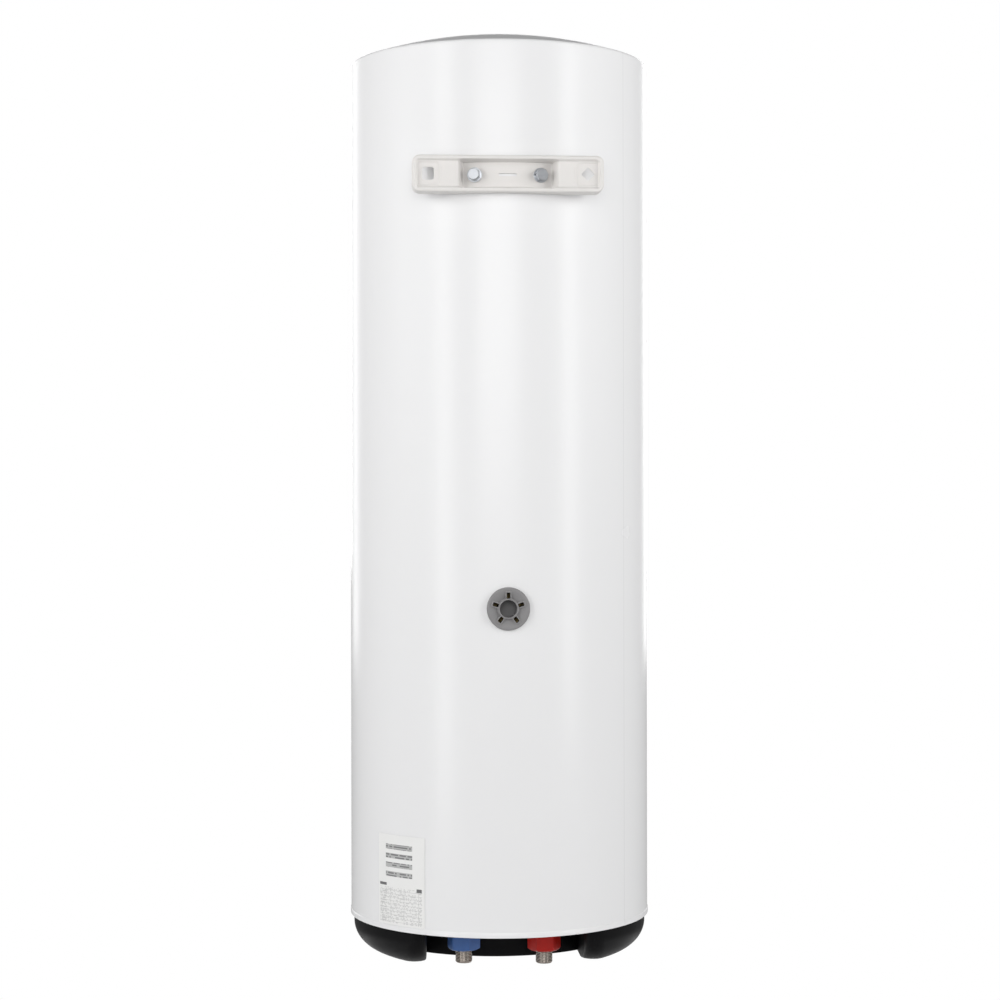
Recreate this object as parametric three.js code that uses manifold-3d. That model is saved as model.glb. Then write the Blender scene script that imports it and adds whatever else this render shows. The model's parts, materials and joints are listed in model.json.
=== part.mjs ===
// Wall-hung vertical storage water heater, 80 litre class, as an assembly of separate pieces.
// Millimetres, +Z up. The front faces -Y and the wall bracket +Y.
// Every piece is laid out round the tank's axis, with height 0 at the flat underside of the bottom
// cover. At the end the whole group moves, so that the origin is where the wall holds the heater:
// the middle of the bracket's upper rim, on the face that bears on the wall.
import * as THREE from 'three';
import { mergeVertices } from 'three/addons/utils/BufferGeometryUtils.js';
import Module from 'manifold-3d';

const wasm = await Module();
wasm.setup();

// ---- driving dimensions ----

const GAP = 0.3; // play kept between neighbouring pieces
const RING_SIDES = 40; // sides of the large coaxial shells, all alike so that they nest

const CASE_RADIUS = 190;
const CASE_SHEET = 0.8;
const CASE_FOOT = 46; // casing's lower edge above the underside
const CASE_WALL = 1078; // straight wall of the casing
const CASE_TOP = CASE_FOOT + CASE_WALL;
const RIM_CURL = 4; // radius of the curled upper rim
const HEM_PROUD = 0.8;
const HEM_HEIGHT = 6;
const DOME_RADIUS = 550; // spherical crown of the lid
const LID_SHEET = 0.8;
const LID_FLANGE = 14;

const COVER_RADIUS = 186.3;
const COVER_WALL = 2.5;
const COVER_CORNER_OUT = 42.8; // elliptical lower corner, across and up
const COVER_CORNER_UP = 36;
const COVER_RIM = 57.5;
const BAY_HALF_WIDTH = 97;
const BAY_WALL_RADIUS = 160;
const BAY_WALL_CENTRE = -88; // y of the bay wall's centre of curvature
const BAY_CORNER = 14;

const PLATE_FOOT = 58; // foam base plate
const PLATE_SHEET = 1;
const WELL_RADIUS = 78; // opening in plate and foam round the heater flange

const TANK_RADIUS = 160;
const TANK_SHEET = 1.8;
const TANK_FOOT = 100; // lowest point of the lower dished end
const TANK_CROWN = 1130; // highest point of the upper dished end
const DISH_DEPTH = 45;
const DISH_SKIRT = 15;

const PIPE_SPACING = 100;
const PIPE_BACK = 94; // pipes behind the axis
const PIPE_RADIUS = 20.955 / 2; // G1/2 major diameter
const PIPE_BORE = 7.9;
const PIPE_TOP = 130;
const COLD_END = -1.5;
const HOT_END = -3.5;
const COLLAR_FLATS = 36;
const COLD_COLLAR_FOOT = 15;
const HOT_COLLAR_FOOT = 13;

const BRACKET_HEIGHT = 963;
const BRACKET_WIDTH = 230;
const BRACKET_DEPTH = 44;
const BRACKET_SHEET = 2;
const BRACKET_CORNER = 9;
const RIM_WIDTH = 4.5;
const WALL_PLANE = 204; // y of the face that bears on the wall
const ARM_FACE = WALL_PLANE - 3.5; // recessed field of the bracket's arms
const FOLD_EDGE = 180; // y of the folded flanges' free edge
const SADDLE_FOOT = 54; // half width of the saddle that lies on the casing
const SADDLE_MOUTH = 60;
const HOOK_HOLE_X = 96;
const BOLT_ANGLE = THREE.MathUtils.degToRad(11.4);

const PORT_HEIGHT = 442;
const PORT_RADIUS = 26;
const LABEL_FOOT = 53;
const LABEL_TOP = 163;
const LABEL_FROM = THREE.MathUtils.degToRad(31.8);
const LABEL_TO = THREE.MathUtils.degToRad(54.5);

const FLANGE_FOOT = 82;
const FLANGE_THICK = 5;
const FLANGE_RADIUS = 62;
const FLANGE_BOLTS = 5;
const FLANGE_BOLT_CIRCLE = 53;
const MOUTH_RADIUS = 40; // opening in the lower dished end
const KNOB_Y = -52;
const KNOB_RECESS = 30;
const KNOB_RECESS_DEPTH = 18;

// ---- finishes ----

const finishes = {
  whiteEnamel: { color: 0xf1f1f1, roughness: 0.28, metalness: 0 },
  lidEnamel: { color: 0xe2e2e3, roughness: 0.35, metalness: 0 },
  bracketEnamel: { color: 0xe5e1dd, roughness: 0.5, metalness: 0 },
  zincSteel: { color: 0xb9bcc0, roughness: 0.35, metalness: 1 },
  nickelSteel: { color: 0x8e857c, roughness: 0.35, metalness: 1 },
  tankSteel: { color: 0x8d9094, roughness: 0.55, metalness: 0.9 },
  blackPlastic: { color: 0x202022, roughness: 0.5, metalness: 0 },
  greyPlastic: { color: 0x918f90, roughness: 0.55, metalness: 0 },
  bluePlastic: { color: 0x365693, roughness: 0.45, metalness: 0 },
  redPlastic: { color: 0xa02a22, roughness: 0.45, metalness: 0 },
  whitePlastic: { color: 0xe8e8e4, roughness: 0.5, metalness: 0 },
  foam: { color: 0xdcc98e, roughness: 0.95, metalness: 0 },
  rubber: { color: 0x1b1b1b, roughness: 0.9, metalness: 0 },
  copper: { color: 0xb4734a, roughness: 0.4, metalness: 1 },
  magnesium: { color: 0xa8a9a4, roughness: 0.7, metalness: 0.8 },
  brass: { color: 0xc2a05a, roughness: 0.35, metalness: 1 },
  paper: { color: 0xf6f6f4, roughness: 0.7, metalness: 0 },
  redLens: { color: 0xb8261c, roughness: 0.15, metalness: 0 },
  lampGlass: { color: 0xd9a079, roughness: 0.1, metalness: 0 },
  brownLead: { color: 0x6b4428, roughness: 0.6, metalness: 0 },
  blueLead: { color: 0x2f5fa8, roughness: 0.6, metalness: 0 },
  greenLead: { color: 0x5f9a3a, roughness: 0.6, metalness: 0 },
};

// ---- closed solids and their joins and cuts ----

function signedVolume(positions, triangles) {
  const a = new THREE.Vector3();
  const b = new THREE.Vector3();
  const c = new THREE.Vector3();
  let volume = 0;
  for (let i = 0; i < triangles.length; i += 3) {
    a.fromArray(positions, 3 * triangles[i]);
    b.fromArray(positions, 3 * triangles[i + 1]);
    c.fromArray(positions, 3 * triangles[i + 2]);
    volume += a.dot(b.cross(c)) / 6;
  }
  return volume;
}

/** A closed geometry as a solid that can be joined and cut, its faces turned outwards. */
function solid(geometry) {
  const bare = geometry.clone();
  bare.deleteAttribute('normal');
  bare.deleteAttribute('uv');
  const merged = mergeVertices(bare, 1e-3);
  const vertProperties = new Float32Array(merged.attributes.position.array);
  const corners = merged.index.array;
  const triangles = [];
  for (let i = 0; i < corners.length; i += 3) {
    const [p, q, r] = [corners[i], corners[i + 1], corners[i + 2]];
    if (p !== q && q !== r && r !== p) triangles.push(p, q, r);
  }
  if (signedVolume(vertProperties, triangles) < 0) triangles.reverse();
  const triVerts = new Uint32Array(triangles);
  return new wasm.Manifold(new wasm.Mesh({ numProp: 3, vertProperties, triVerts }));
}

function geometryOf(body) {
  const mesh = body.getMesh();
  const geometry = new THREE.BufferGeometry();
  geometry.setAttribute('position', new THREE.BufferAttribute(mesh.vertProperties, 3));
  geometry.setIndex(new THREE.BufferAttribute(mesh.triVerts, 1));
  return geometry;
}

const join = (first, ...others) => others.reduce((whole, piece) => whole.add(piece), first);
const cut = (first, ...others) => others.reduce((whole, piece) => whole.subtract(piece), first);

/** A body of revolution about Z from a closed [radius, height] outline. */
function turned(outline, sides = 16) {
  const onAxis = outline[0][0] === 0 && outline[outline.length - 1][0] === 0;
  const loop = onAxis ? outline : [...outline, outline[0]];
  const points = loop.map(([radius, height]) => new THREE.Vector2(radius, height));
  return solid(new THREE.LatheGeometry(points, sides).rotateX(Math.PI / 2));
}

function rod(radius, foot, top, sides = 16) {
  return turned([[0, foot], [radius, foot], [radius, top], [0, top]], sides);
}

function tube(inner, outer, foot, top, sides = 16) {
  return turned([[inner, foot], [outer, foot], [outer, top], [inner, top]], sides);
}

function box(x, y, z, width, depth, height) {
  return solid(new THREE.BoxGeometry(width, depth, height).translate(x, y, z));
}

/** An outline in the XY plane, drawn up from foot to top. */
function raised(shape, foot, top, curveSegments = 3) {
  const settings = { depth: top - foot, bevelEnabled: false, curveSegments };
  return solid(new THREE.ExtrudeGeometry(shape, settings).translate(0, 0, foot));
}

/** An outline seen from behind (x across, height up), drawn along Y from near to far. */
function drawnBack(shape, near, far, curveSegments = 3) {
  const settings = { depth: far - near, bevelEnabled: false, curveSegments };
  const geometry = new THREE.ExtrudeGeometry(shape, settings);
  return solid(geometry.rotateX(Math.PI / 2).translate(0, far, 0));
}

function hexagon(acrossFlats, turn = 0) {
  const corner = acrossFlats / Math.sqrt(3);
  const points = Array.from({ length: 6 }, (_, i) => {
    const angle = turn + (i * Math.PI) / 3;
    return new THREE.Vector2(corner * Math.cos(angle), corner * Math.sin(angle));
  });
  return new THREE.Shape(points);
}

function roundedRectangle(cx, cy, width, height, radius) {
  const [w, h] = [width / 2 - radius, height / 2 - radius];
  const shape = new THREE.Shape();
  shape.absarc(cx + w, cy + h, radius, 0, Math.PI / 2);
  shape.absarc(cx - w, cy + h, radius, Math.PI / 2, Math.PI);
  shape.absarc(cx - w, cy - h, radius, Math.PI, 1.5 * Math.PI);
  shape.absarc(cx + w, cy - h, radius, 1.5 * Math.PI, 2 * Math.PI);
  return shape;
}

const spin = (body, radians) => body.rotate([0, 0, THREE.MathUtils.radToDeg(radians)]);

/** Turns a piece built upwards along Z so that it points out at the back, at an angle towards +X. */
function outwards(body, angle, height) {
  return spin(body.rotate([-90, 0, 0]), -angle).translate([0, 0, height]);
}

function arcPoints(cx, cy, rx, ry, from, to, steps) {
  return Array.from({ length: steps + 1 }, (_, i) => {
    const angle = from + ((to - from) * i) / steps;
    return [cx + rx * Math.cos(angle), cy + ry * Math.sin(angle)];
  });
}

const HALF = Math.PI;
const QUARTER = Math.PI / 2;

// ---- the assembly ----

const heater = new THREE.Group();

function add(name, body, finish) {
  const mesh = new THREE.Mesh(geometryOf(body), new THREE.MeshStandardMaterial(finishes[finish]));
  mesh.name = name;
  heater.add(mesh);
}

// ---- casing and lid ----

const rimInside = CASE_RADIUS - RIM_CURL;
const domeCentre = CASE_TOP + RIM_CURL - Math.sqrt(DOME_RADIUS ** 2 - rimInside ** 2);
const domeAt = (radius, sheet = 0) => domeCentre + Math.sqrt((DOME_RADIUS - sheet) ** 2 - radius ** 2);

function domePoints(fromRadius, toRadius, sheet, steps) {
  return Array.from({ length: steps + 1 }, (_, i) => {
    const radius = fromRadius + ((toRadius - fromRadius) * i) / steps;
    return [radius, domeAt(radius, sheet)];
  });
}

function outerCasing() {
  const inside = CASE_RADIUS - CASE_SHEET;
  const hem = CASE_RADIUS + HEM_PROUD;
  const shell = turned([
    [inside, CASE_FOOT],
    [hem, CASE_FOOT],
    [hem, CASE_FOOT + HEM_HEIGHT],
    [CASE_RADIUS, CASE_FOOT + HEM_HEIGHT + HEM_PROUD],
    ...arcPoints(rimInside, CASE_TOP, RIM_CURL, RIM_CURL, 0, QUARTER, 3),
    ...arcPoints(rimInside, CASE_TOP, RIM_CURL - CASE_SHEET, RIM_CURL - CASE_SHEET, QUARTER, 0, 2),
  ], RING_SIDES);
  const holes = [-1, 1].map((side) => {
    return outwards(rod(10.5, CASE_RADIUS - 20, CASE_RADIUS + 10), side * BOLT_ANGLE, BRACKET_HEIGHT);
  });
  return cut(shell, ...holes, outwards(rod(21, CASE_RADIUS - 20, CASE_RADIUS + 10), 0, PORT_HEIGHT));
}

function topCover() {
  const outer = RIM_CURL - CASE_SHEET - GAP;
  const inner = outer - LID_SHEET;
  return turned([
    ...domePoints(0, rimInside - GAP, 0, 3),
    ...arcPoints(rimInside, CASE_TOP, outer, outer, QUARTER, 0, 2),
    [rimInside + outer, CASE_TOP - LID_FLANGE],
    [rimInside + inner, CASE_TOP - LID_FLANGE],
    ...arcPoints(rimInside, CASE_TOP, inner, inner, 0, QUARTER, 2),
    ...domePoints(rimInside - GAP - LID_SHEET, 0, LID_SHEET, 3),
  ], RING_SIDES);
}

add('outer_casing', outerCasing(), 'whiteEnamel');
add('top_cover', topCover(), 'lidEnamel');

// ---- bottom cover with its rear bay ----

/** Plan of the bay; wall grows it towards the inside of the cover. */
function bayPlan(wall) {
  const half = BAY_HALF_WIDTH + wall;
  const radius = BAY_WALL_RADIUS - wall;
  const reach = Math.asin(half / radius);
  const filletX = BAY_HALF_WIDTH + BAY_CORNER;
  const filletY = Math.sqrt((COVER_RADIUS - BAY_CORNER) ** 2 - filletX ** 2);
  const fillet = BAY_CORNER - wall;
  const meet = Math.atan2(filletY, filletX);
  const far = 1.3;
  const shape = new THREE.Shape();
  shape.absarc(0, BAY_WALL_CENTRE, radius, QUARTER + reach, QUARTER - reach, true);
  shape.absarc(filletX, filletY, fillet, HALF, meet, true);
  shape.lineTo(far * COVER_RADIUS * Math.cos(meet), far * COVER_RADIUS * Math.sin(meet));
  shape.lineTo(0, 2 * COVER_RADIUS);
  shape.lineTo(-far * COVER_RADIUS * Math.cos(meet), far * COVER_RADIUS * Math.sin(meet));
  shape.absarc(-filletX, filletY, fillet, HALF - meet, 0, true);
  return shape;
}

function coverBowl(wall, rim) {
  const flat = COVER_RADIUS - COVER_CORNER_OUT;
  const [across, up] = [COVER_CORNER_OUT - wall, COVER_CORNER_UP - wall];
  return turned([
    [0, wall],
    ...arcPoints(flat, COVER_CORNER_UP, across, up, -QUARTER, 0, 6),
    [COVER_RADIUS - wall, rim],
    [0, rim],
  ], RING_SIDES);
}

const SCREW_CIRCLE = 135;
const SCREW_ANGLES = [0, 180, 240, 300];
const SCREW_POST = 7;
const SCREW_WELL = 4.8;
const SCREW_HOLE = 2.5;
const GROMMET_PAD = 14;
const GROMMET_FLANGE = 11;
const GROMMET_NECK = 7.4;
const LENS_HOLE = 5.5;
const SPINDLE_HOLE = 5;

const screwSpots = SCREW_ANGLES.map((degrees) => {
  const angle = THREE.MathUtils.degToRad(degrees);
  return [SCREW_CIRCLE * Math.cos(angle), SCREW_CIRCLE * Math.sin(angle)];
});
const GROMMET = [-95, -60];
const PILOT = [60, -60];

function bottomCover() {
  const outside = cut(coverBowl(0, COVER_RIM), raised(bayPlan(0), -10, 80, 8));
  const inside = cut(coverBowl(COVER_WALL, COVER_RIM + 5), raised(bayPlan(COVER_WALL), -10, 80, 8));
  const shell = cut(outside, inside);
  const posts = screwSpots.map(([x, y]) => rod(SCREW_POST, 0.5, COVER_RIM, 12).translate([x, y, 0]));
  const recess = rod(KNOB_RECESS + COVER_WALL, 0.5, KNOB_RECESS_DEPTH + COVER_WALL, 24);
  const pads = [
    recess.translate([0, KNOB_Y, 0]),
    rod(GROMMET_PAD, 0.5, 6).translate([...GROMMET, 0]),
  ];
  const wells = screwSpots.flatMap(([x, y]) => [
    rod(SCREW_WELL, -1, 40, 12).translate([x, y, 0]),
    rod(SCREW_HOLE, 30, 70, 8).translate([x, y, 0]),
  ]);
  const openings = [
    rod(KNOB_RECESS, -1, KNOB_RECESS_DEPTH, 24).translate([0, KNOB_Y, 0]),
    rod(SPINDLE_HOLE, 0, 30, 12).translate([0, KNOB_Y, 0]),
    rod(GROMMET_FLANGE, -1, 2.8).translate([...GROMMET, 0]),
    rod(GROMMET_NECK, -1, 10).translate([...GROMMET, 0]),
    rod(LENS_HOLE, -1, 10, 12).translate([...PILOT, 0]),
  ];
  return cut(join(shell, ...posts, ...pads), ...wells, ...openings);
}

add('bottom_cover', bottomCover(), 'blackPlastic');

function coverScrew() {
  return join(rod(4.2, 36.9, 39.7, 12), rod(2.1, 39, 70, 8));
}

screwSpots.forEach(([x, y], i) => {
  add(`cover_screw_${i + 1}`, coverScrew().translate([x, y, 0]), 'zincSteel');
});

// ---- foam and its base plate ----

const pipeSpots = { cold: [PIPE_SPACING / 2, PIPE_BACK], hot: [-PIPE_SPACING / 2, PIPE_BACK] };
const atPipes = (body) => Object.values(pipeSpots).map(([x, y]) => body.translate([x, y, 0]));
const atScrews = (body) => screwSpots.map(([x, y]) => body.translate([x, y, 0]));

function basePlate() {
  const outer = CASE_RADIUS - CASE_SHEET - GAP;
  const plate = turned([
    [WELL_RADIUS, PLATE_FOOT],
    [outer - PLATE_SHEET, PLATE_FOOT],
    [outer - PLATE_SHEET, PLATE_FOOT - 8],
    [outer, PLATE_FOOT - 8],
    [outer, PLATE_FOOT + PLATE_SHEET],
    [WELL_RADIUS, PLATE_FOOT + PLATE_SHEET],
  ], RING_SIDES);
  const pipeHoles = atPipes(rod(PIPE_RADIUS + GAP, 50, 70));
  return cut(plate, ...pipeHoles, ...atScrews(rod(SCREW_HOLE, 50, 70, 8)));
}

const dishRise = (radius, span) => DISH_DEPTH * (1 - Math.sqrt(1 - (radius / span) ** 2));

/** Outline of a dished end from a radius outwards; every piece that follows it shares the stations. */
function dishPoints(fromRadius, span, place) {
  const stations = [0, MOUTH_RADIUS, WELL_RADIUS, 120, 148, span];
  const radii = stations.filter((radius) => radius >= fromRadius);
  return radii.map((radius) => [radius, place(dishRise(radius, span))]);
}

const dishSpan = TANK_RADIUS - TANK_SHEET - GAP;
const lowerDish = (rise) => TANK_FOOT + rise;
const upperDish = (rise) => TANK_CROWN - rise;
const shellFoot = TANK_FOOT + DISH_DEPTH + 4;
const shellTop = TANK_CROWN - DISH_DEPTH - 4;

function insulationFoam() {
  const inside = TANK_RADIUS + GAP;
  const underFlange = CASE_TOP - LID_FLANGE - GAP;
  const lidInside = rimInside + RIM_CURL - CASE_SHEET - LID_SHEET - 2 * GAP;
  const foot = PLATE_FOOT + PLATE_SHEET + GAP;
  const block = turned([
    [WELL_RADIUS, foot],
    [CASE_RADIUS - CASE_SHEET - GAP, foot],
    [CASE_RADIUS - CASE_SHEET - GAP, underFlange],
    [lidInside, underFlange],
    [lidInside, CASE_TOP],
    [rimInside - 2, CASE_TOP + 1.4],
    ...domePoints(rimInside - 4, 0, LID_SHEET + 1, 3),
    ...dishPoints(0, dishSpan, (rise) => TANK_CROWN + GAP - rise),
    [inside, shellTop],
    [inside, shellFoot],
    ...dishPoints(WELL_RADIUS, dishSpan, (rise) => TANK_FOOT - GAP + rise).reverse(),
  ], RING_SIDES);
  const bossHoles = [-1, 1].map((side) => {
    return outwards(rod(10.3, 150, 200), side * BOLT_ANGLE, BRACKET_HEIGHT);
  });
  const portHole = outwards(rod(21.3, 168, 200), 0, PORT_HEIGHT);
  const pipeHoles = atPipes(rod(PIPE_RADIUS + GAP, 50, 125));
  return cut(block, ...bossHoles, portHole, ...pipeHoles, ...atScrews(rod(2.6, 50, 71, 8)));
}

add('base_plate', basePlate(), 'zincSteel');
add('insulation_foam', insulationFoam(), 'foam');

// ---- inner tank ----

function tankEnd(place, skirtEnd, sheetWay, fromRadius) {
  const inner = dishSpan - TANK_SHEET;
  const inward = (rise) => place(rise) + sheetWay * TANK_SHEET;
  return turned([
    ...dishPoints(fromRadius, dishSpan, place),
    [dishSpan, skirtEnd],
    [inner, skirtEnd],
    ...dishPoints(fromRadius, inner, inward).reverse(),
  ], RING_SIDES);
}

const lowerSkirt = TANK_FOOT + DISH_DEPTH + DISH_SKIRT;
const upperSkirt = TANK_CROWN - DISH_DEPTH - DISH_SKIRT;
const lowerEnd = tankEnd(lowerDish, lowerSkirt, 1, MOUTH_RADIUS);

add('tank_shell', tube(TANK_RADIUS - TANK_SHEET, TANK_RADIUS, shellFoot, shellTop, RING_SIDES), 'tankSteel');
add('tank_top_end', tankEnd(upperDish, upperSkirt, -1, 0), 'tankSteel');
add('tank_bottom_end', cut(lowerEnd, ...atPipes(rod(PIPE_RADIUS + GAP, 90, 140))), 'tankSteel');

const BOSS_RADIUS = 10;
const BOSS_BORE = 4.2;
const bossEnd = CASE_RADIUS - 0.8;
const bossSolid = cut(rod(BOSS_RADIUS, TANK_RADIUS + GAP, bossEnd), rod(BOSS_BORE, 168, 200));

// ---- wall bracket and its bolts ----

/** Cross-section of the bracket's web, from above: two arms and the saddle between them. */
function webSection() {
  const onCasing = CASE_RADIUS + GAP;
  const front = onCasing + BRACKET_SHEET;
  const end = BRACKET_WIDTH / 2 - 3;
  const angleAt = (x, radius) => Math.acos(x / radius);
  const section = new THREE.Shape();
  section.moveTo(end, ARM_FACE - BRACKET_SHEET);
  section.lineTo(end, ARM_FACE);
  section.lineTo(SADDLE_MOUTH, ARM_FACE);
  section.absarc(0, 0, front, angleAt(SADDLE_FOOT, front), HALF - angleAt(SADDLE_FOOT, front), false);
  section.lineTo(-SADDLE_MOUTH, ARM_FACE);
  section.lineTo(-end, ARM_FACE);
  section.lineTo(-end, ARM_FACE - BRACKET_SHEET);
  const back = SADDLE_FOOT + BRACKET_SHEET;
  section.lineTo(-SADDLE_MOUTH - BRACKET_SHEET, ARM_FACE - BRACKET_SHEET);
  section.absarc(0, 0, onCasing, HALF - angleAt(back, onCasing), angleAt(back, onCasing), true);
  section.lineTo(SADDLE_MOUTH + BRACKET_SHEET, ARM_FACE - BRACKET_SHEET);
  return section;
}

function wallBracket() {
  const [width, height, wall] = [BRACKET_WIDTH, BRACKET_DEPTH, BRACKET_SHEET];
  const outline = () => roundedRectangle(0, 0, width, height, BRACKET_CORNER);
  const rim = outline();
  rim.holes.push(roundedRectangle(0, 0, width - 2 * RIM_WIDTH, height - 2 * RIM_WIDTH, 5));
  const folds = outline();
  folds.holes.push(roundedRectangle(0, 0, width - 2 * wall, height - 2 * wall, BRACKET_CORNER - wall));
  const rimFoot = WALL_PLANE - 5;
  const web = raised(webSection(), -height / 2 + 1.5, height / 2 - 1.5, 8);
  const padBacks = [-1, 1].map((side) => box(side * HOOK_HOLE_X, ARM_FACE - 2, 0, 29, 2, 29));
  const tray = join(drawnBack(rim, rimFoot, WALL_PLANE), drawnBack(folds, FOLD_EDGE, rimFoot), web);
  const padCuts = [-1, 1].map((side) => {
    const pad = roundedRectangle(side * HOOK_HOLE_X, 0, 27, 27, 4);
    return drawnBack(pad, ARM_FACE - 1, ARM_FACE + 10);
  });
  const squareHole = drawnBack(roundedRectangle(HOOK_HOLE_X, 0, 14, 15.5, 3), 170, 210);
  const turnedHole = drawnBack(roundedRectangle(0, 0, 11.6, 11.6, 1.5), 170, 210);
  const slot = drawnBack(roundedRectangle(0, 0, 22, 3.5, 1.7), 170, 210, 3);
  const boltHoles = [-1, 1].map((side) => outwards(rod(4.6, 180, 220), side * BOLT_ANGLE, 0));
  return cut(
    join(tray, ...padBacks),
    rod(CASE_RADIUS + GAP, -50, 50, RING_SIDES),
    ...padCuts,
    squareHole,
    turnedHole.rotate([0, 45, 0]).translate([-HOOK_HOLE_X, 0, 0]),
    slot,
    ...boltHoles,
  ).translate([0, 0, BRACKET_HEIGHT]);
}

add('wall_bracket', wallBracket(), 'bracketEnamel');

const WASHER = 1.6;
const SPRING = 2;
const BOLT_RADIUS = 3.9;
const BOLT_FLATS = 13;
const BOLT_HEAD = 5.3;
const BOLT_END = 172;
const washerSeat = CASE_RADIUS + BRACKET_SHEET + 2 * GAP;
const springSeat = washerSeat + WASHER + GAP;
const headSeat = springSeat + SPRING + GAP;

const flatWasher = () => tube(4.3, 9, washerSeat, washerSeat + WASHER);
const springWasher = () => tube(4.2, 7.4, springSeat, springSeat + SPRING);

function hexBolt(size, flats, headHeight, foot, seat) {
  return join(raised(hexagon(flats), seat, seat + headHeight), rod(size, foot, seat + 0.5, 12));
}

Object.entries({ cold_side: 1, hot_side: -1 }).forEach(([side, way]) => {
  const place = (body) => outwards(body, way * BOLT_ANGLE, BRACKET_HEIGHT);
  add(`hanger_boss_${side}`, place(bossSolid), 'tankSteel');
  add(`bracket_flat_washer_${side}`, place(flatWasher()), 'zincSteel');
  add(`bracket_spring_washer_${side}`, place(springWasher()), 'zincSteel');
  add(`bracket_bolt_${side}`, place(hexBolt(BOLT_RADIUS, BOLT_FLATS, BOLT_HEAD, BOLT_END, headSeat)), 'zincSteel');
});

// ---- foam filling plug and rating label ----

const SLOT_CIRCLE = 16;
const SLOT_WIDTH = 4.6;
const SLOT_LENGTH = 7.2;
const SLOT_COUNT = 5;
const PLUG_BORE = 10.5;
const PLUG_STEM = 20.7;

function foamPortPlug() {
  const face = CASE_RADIUS + 3.5;
  const body = turned([
    [0, 170],
    [12.2, 170],
    [12.2, 186],
    [19.9, 186],
    [19.9, 184],
    [PLUG_STEM, 184],
    [PLUG_STEM, 189],
    [PORT_RADIUS, 189],
    [PORT_RADIUS, face - 1],
    [PORT_RADIUS - 1, face],
    [12.2, face],
    [11.4, face + 0.8],
    [PLUG_BORE, face],
    [PLUG_BORE, 172],
    [0, 172],
  ], 24);
  const slots = Array.from({ length: SLOT_COUNT }, (_, i) => {
    const slot = box(0, -SLOT_CIRCLE, 190, SLOT_WIDTH, SLOT_LENGTH, 20);
    return spin(slot, (i * 2 * Math.PI) / SLOT_COUNT);
  });
  const casing = cut(rod(40, 150, 210), rod(20.9, 150, 210)).intersect(
    rod(CASE_RADIUS + GAP, -40, 40, RING_SIDES).rotate([90, 0, 0]),
  );
  return outwards(cut(body, casing, ...slots), 0, PORT_HEIGHT);
}

function ratingLabel() {
  const inner = CASE_RADIUS + GAP;
  const [from, to] = [QUARTER - LABEL_TO, QUARTER - LABEL_FROM];
  const shape = new THREE.Shape();
  shape.absarc(0, 0, inner + 0.3, from, to, false);
  shape.absarc(0, 0, inner, to, from, true);
  return raised(shape, LABEL_FOOT, LABEL_TOP, 9);
}

add('foam_port_plug', foamPortPlug(), 'greyPlastic');
add('rating_label', ratingLabel(), 'paper');

// ---- water connections ----

function collar(foot, turn) {
  const blank = raised(hexagon(COLLAR_FLATS, turn), foot, PLATE_FOOT - 0.4);
  return cut(blank, rod(PIPE_RADIUS + GAP, 0, 80));
}

const [coldX, hotX] = [pipeSpots.cold[0], pipeSpots.hot[0]];
const nipple = (foot) => tube(PIPE_BORE, PIPE_RADIUS, foot, PIPE_TOP, 20);
const degrees = THREE.MathUtils.degToRad;

add('cold_inlet_nipple', nipple(COLD_END).translate([coldX, PIPE_BACK, 0]), 'nickelSteel');
add('hot_outlet_nipple', nipple(HOT_END).translate([hotX, PIPE_BACK, 0]), 'nickelSteel');
add('hot_riser_pipe', tube(6.5, 7.5, 50, 1100, 12).translate([hotX, PIPE_BACK, 0]), 'nickelSteel');
add('cold_collar', collar(COLD_COLLAR_FOOT, degrees(45)).translate([coldX, PIPE_BACK, 0]), 'bluePlastic');
add('hot_collar', collar(HOT_COLLAR_FOOT, 0).translate([hotX, PIPE_BACK, 0]), 'redPlastic');

function inletDeflector() {
  const skirt = PIPE_RADIUS + GAP;
  const cap = turned([
    [0, 139],
    [skirt, 139],
    [skirt, 119],
    [skirt + 1.8, 119],
    [skirt + 1.8, 139],
    [20, 139],
    [20, 141],
    [0, 141],
  ], 20);
  const windows = [0, QUARTER].map((angle) => spin(box(0, 0, 134.5, 60, 11, 7), angle));
  return cut(cap, ...windows).translate([coldX, PIPE_BACK, 0]);
}

add('inlet_deflector', inletDeflector(), 'whitePlastic');

// ---- heater flange and what it carries ----

const flangeTop = FLANGE_FOOT + FLANGE_THICK;
const gasketFoot = flangeTop + GAP;
const seatFoot = gasketFoot + 2.4 + GAP;
const boltSpots = Array.from({ length: FLANGE_BOLTS }, (_, i) => {
  const angle = QUARTER + (i * 2 * Math.PI) / FLANGE_BOLTS;
  return [FLANGE_BOLT_CIRCLE * Math.cos(angle), FLANGE_BOLT_CIRCLE * Math.sin(angle)];
});
const atBolts = (body) => boltSpots.map(([x, y]) => body.translate([x, y, 0]));

const ELEMENT_LEGS = [[-20, 12], [20, 12]];
const ELEMENT_RADIUS = 4.2;
const ELEMENT_TOP = 420;
const POCKET = [0, -18];
const ANODE = [0, 26];
const EARTH = [-32, -20];

function flangeSeat() {
  const seatTop = TANK_FOOT - GAP + dishRise(MOUTH_RADIUS, dishSpan);
  const ring = tube(MOUTH_RADIUS, FLANGE_RADIUS, seatFoot, seatTop, 24);
  return cut(ring, ...atBolts(rod(4.4, 80, 99, 12)));
}

function heaterFlange() {
  const plate = rod(FLANGE_RADIUS, FLANGE_FOOT, flangeTop, 24);
  const through = (radius, [x, y]) => rod(radius, 70, 100, 12).translate([x, y, 0]);
  return cut(
    plate,
    ...atBolts(rod(4.4, 70, 100, 12)),
    ...ELEMENT_LEGS.map((leg) => through(ELEMENT_RADIUS + GAP, leg)),
    through(5.8, POCKET),
    through(3.3, ANODE),
    rod(2.6, 70, flangeTop - 1.2, 8).translate([...EARTH, 0]),
  );
}

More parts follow.
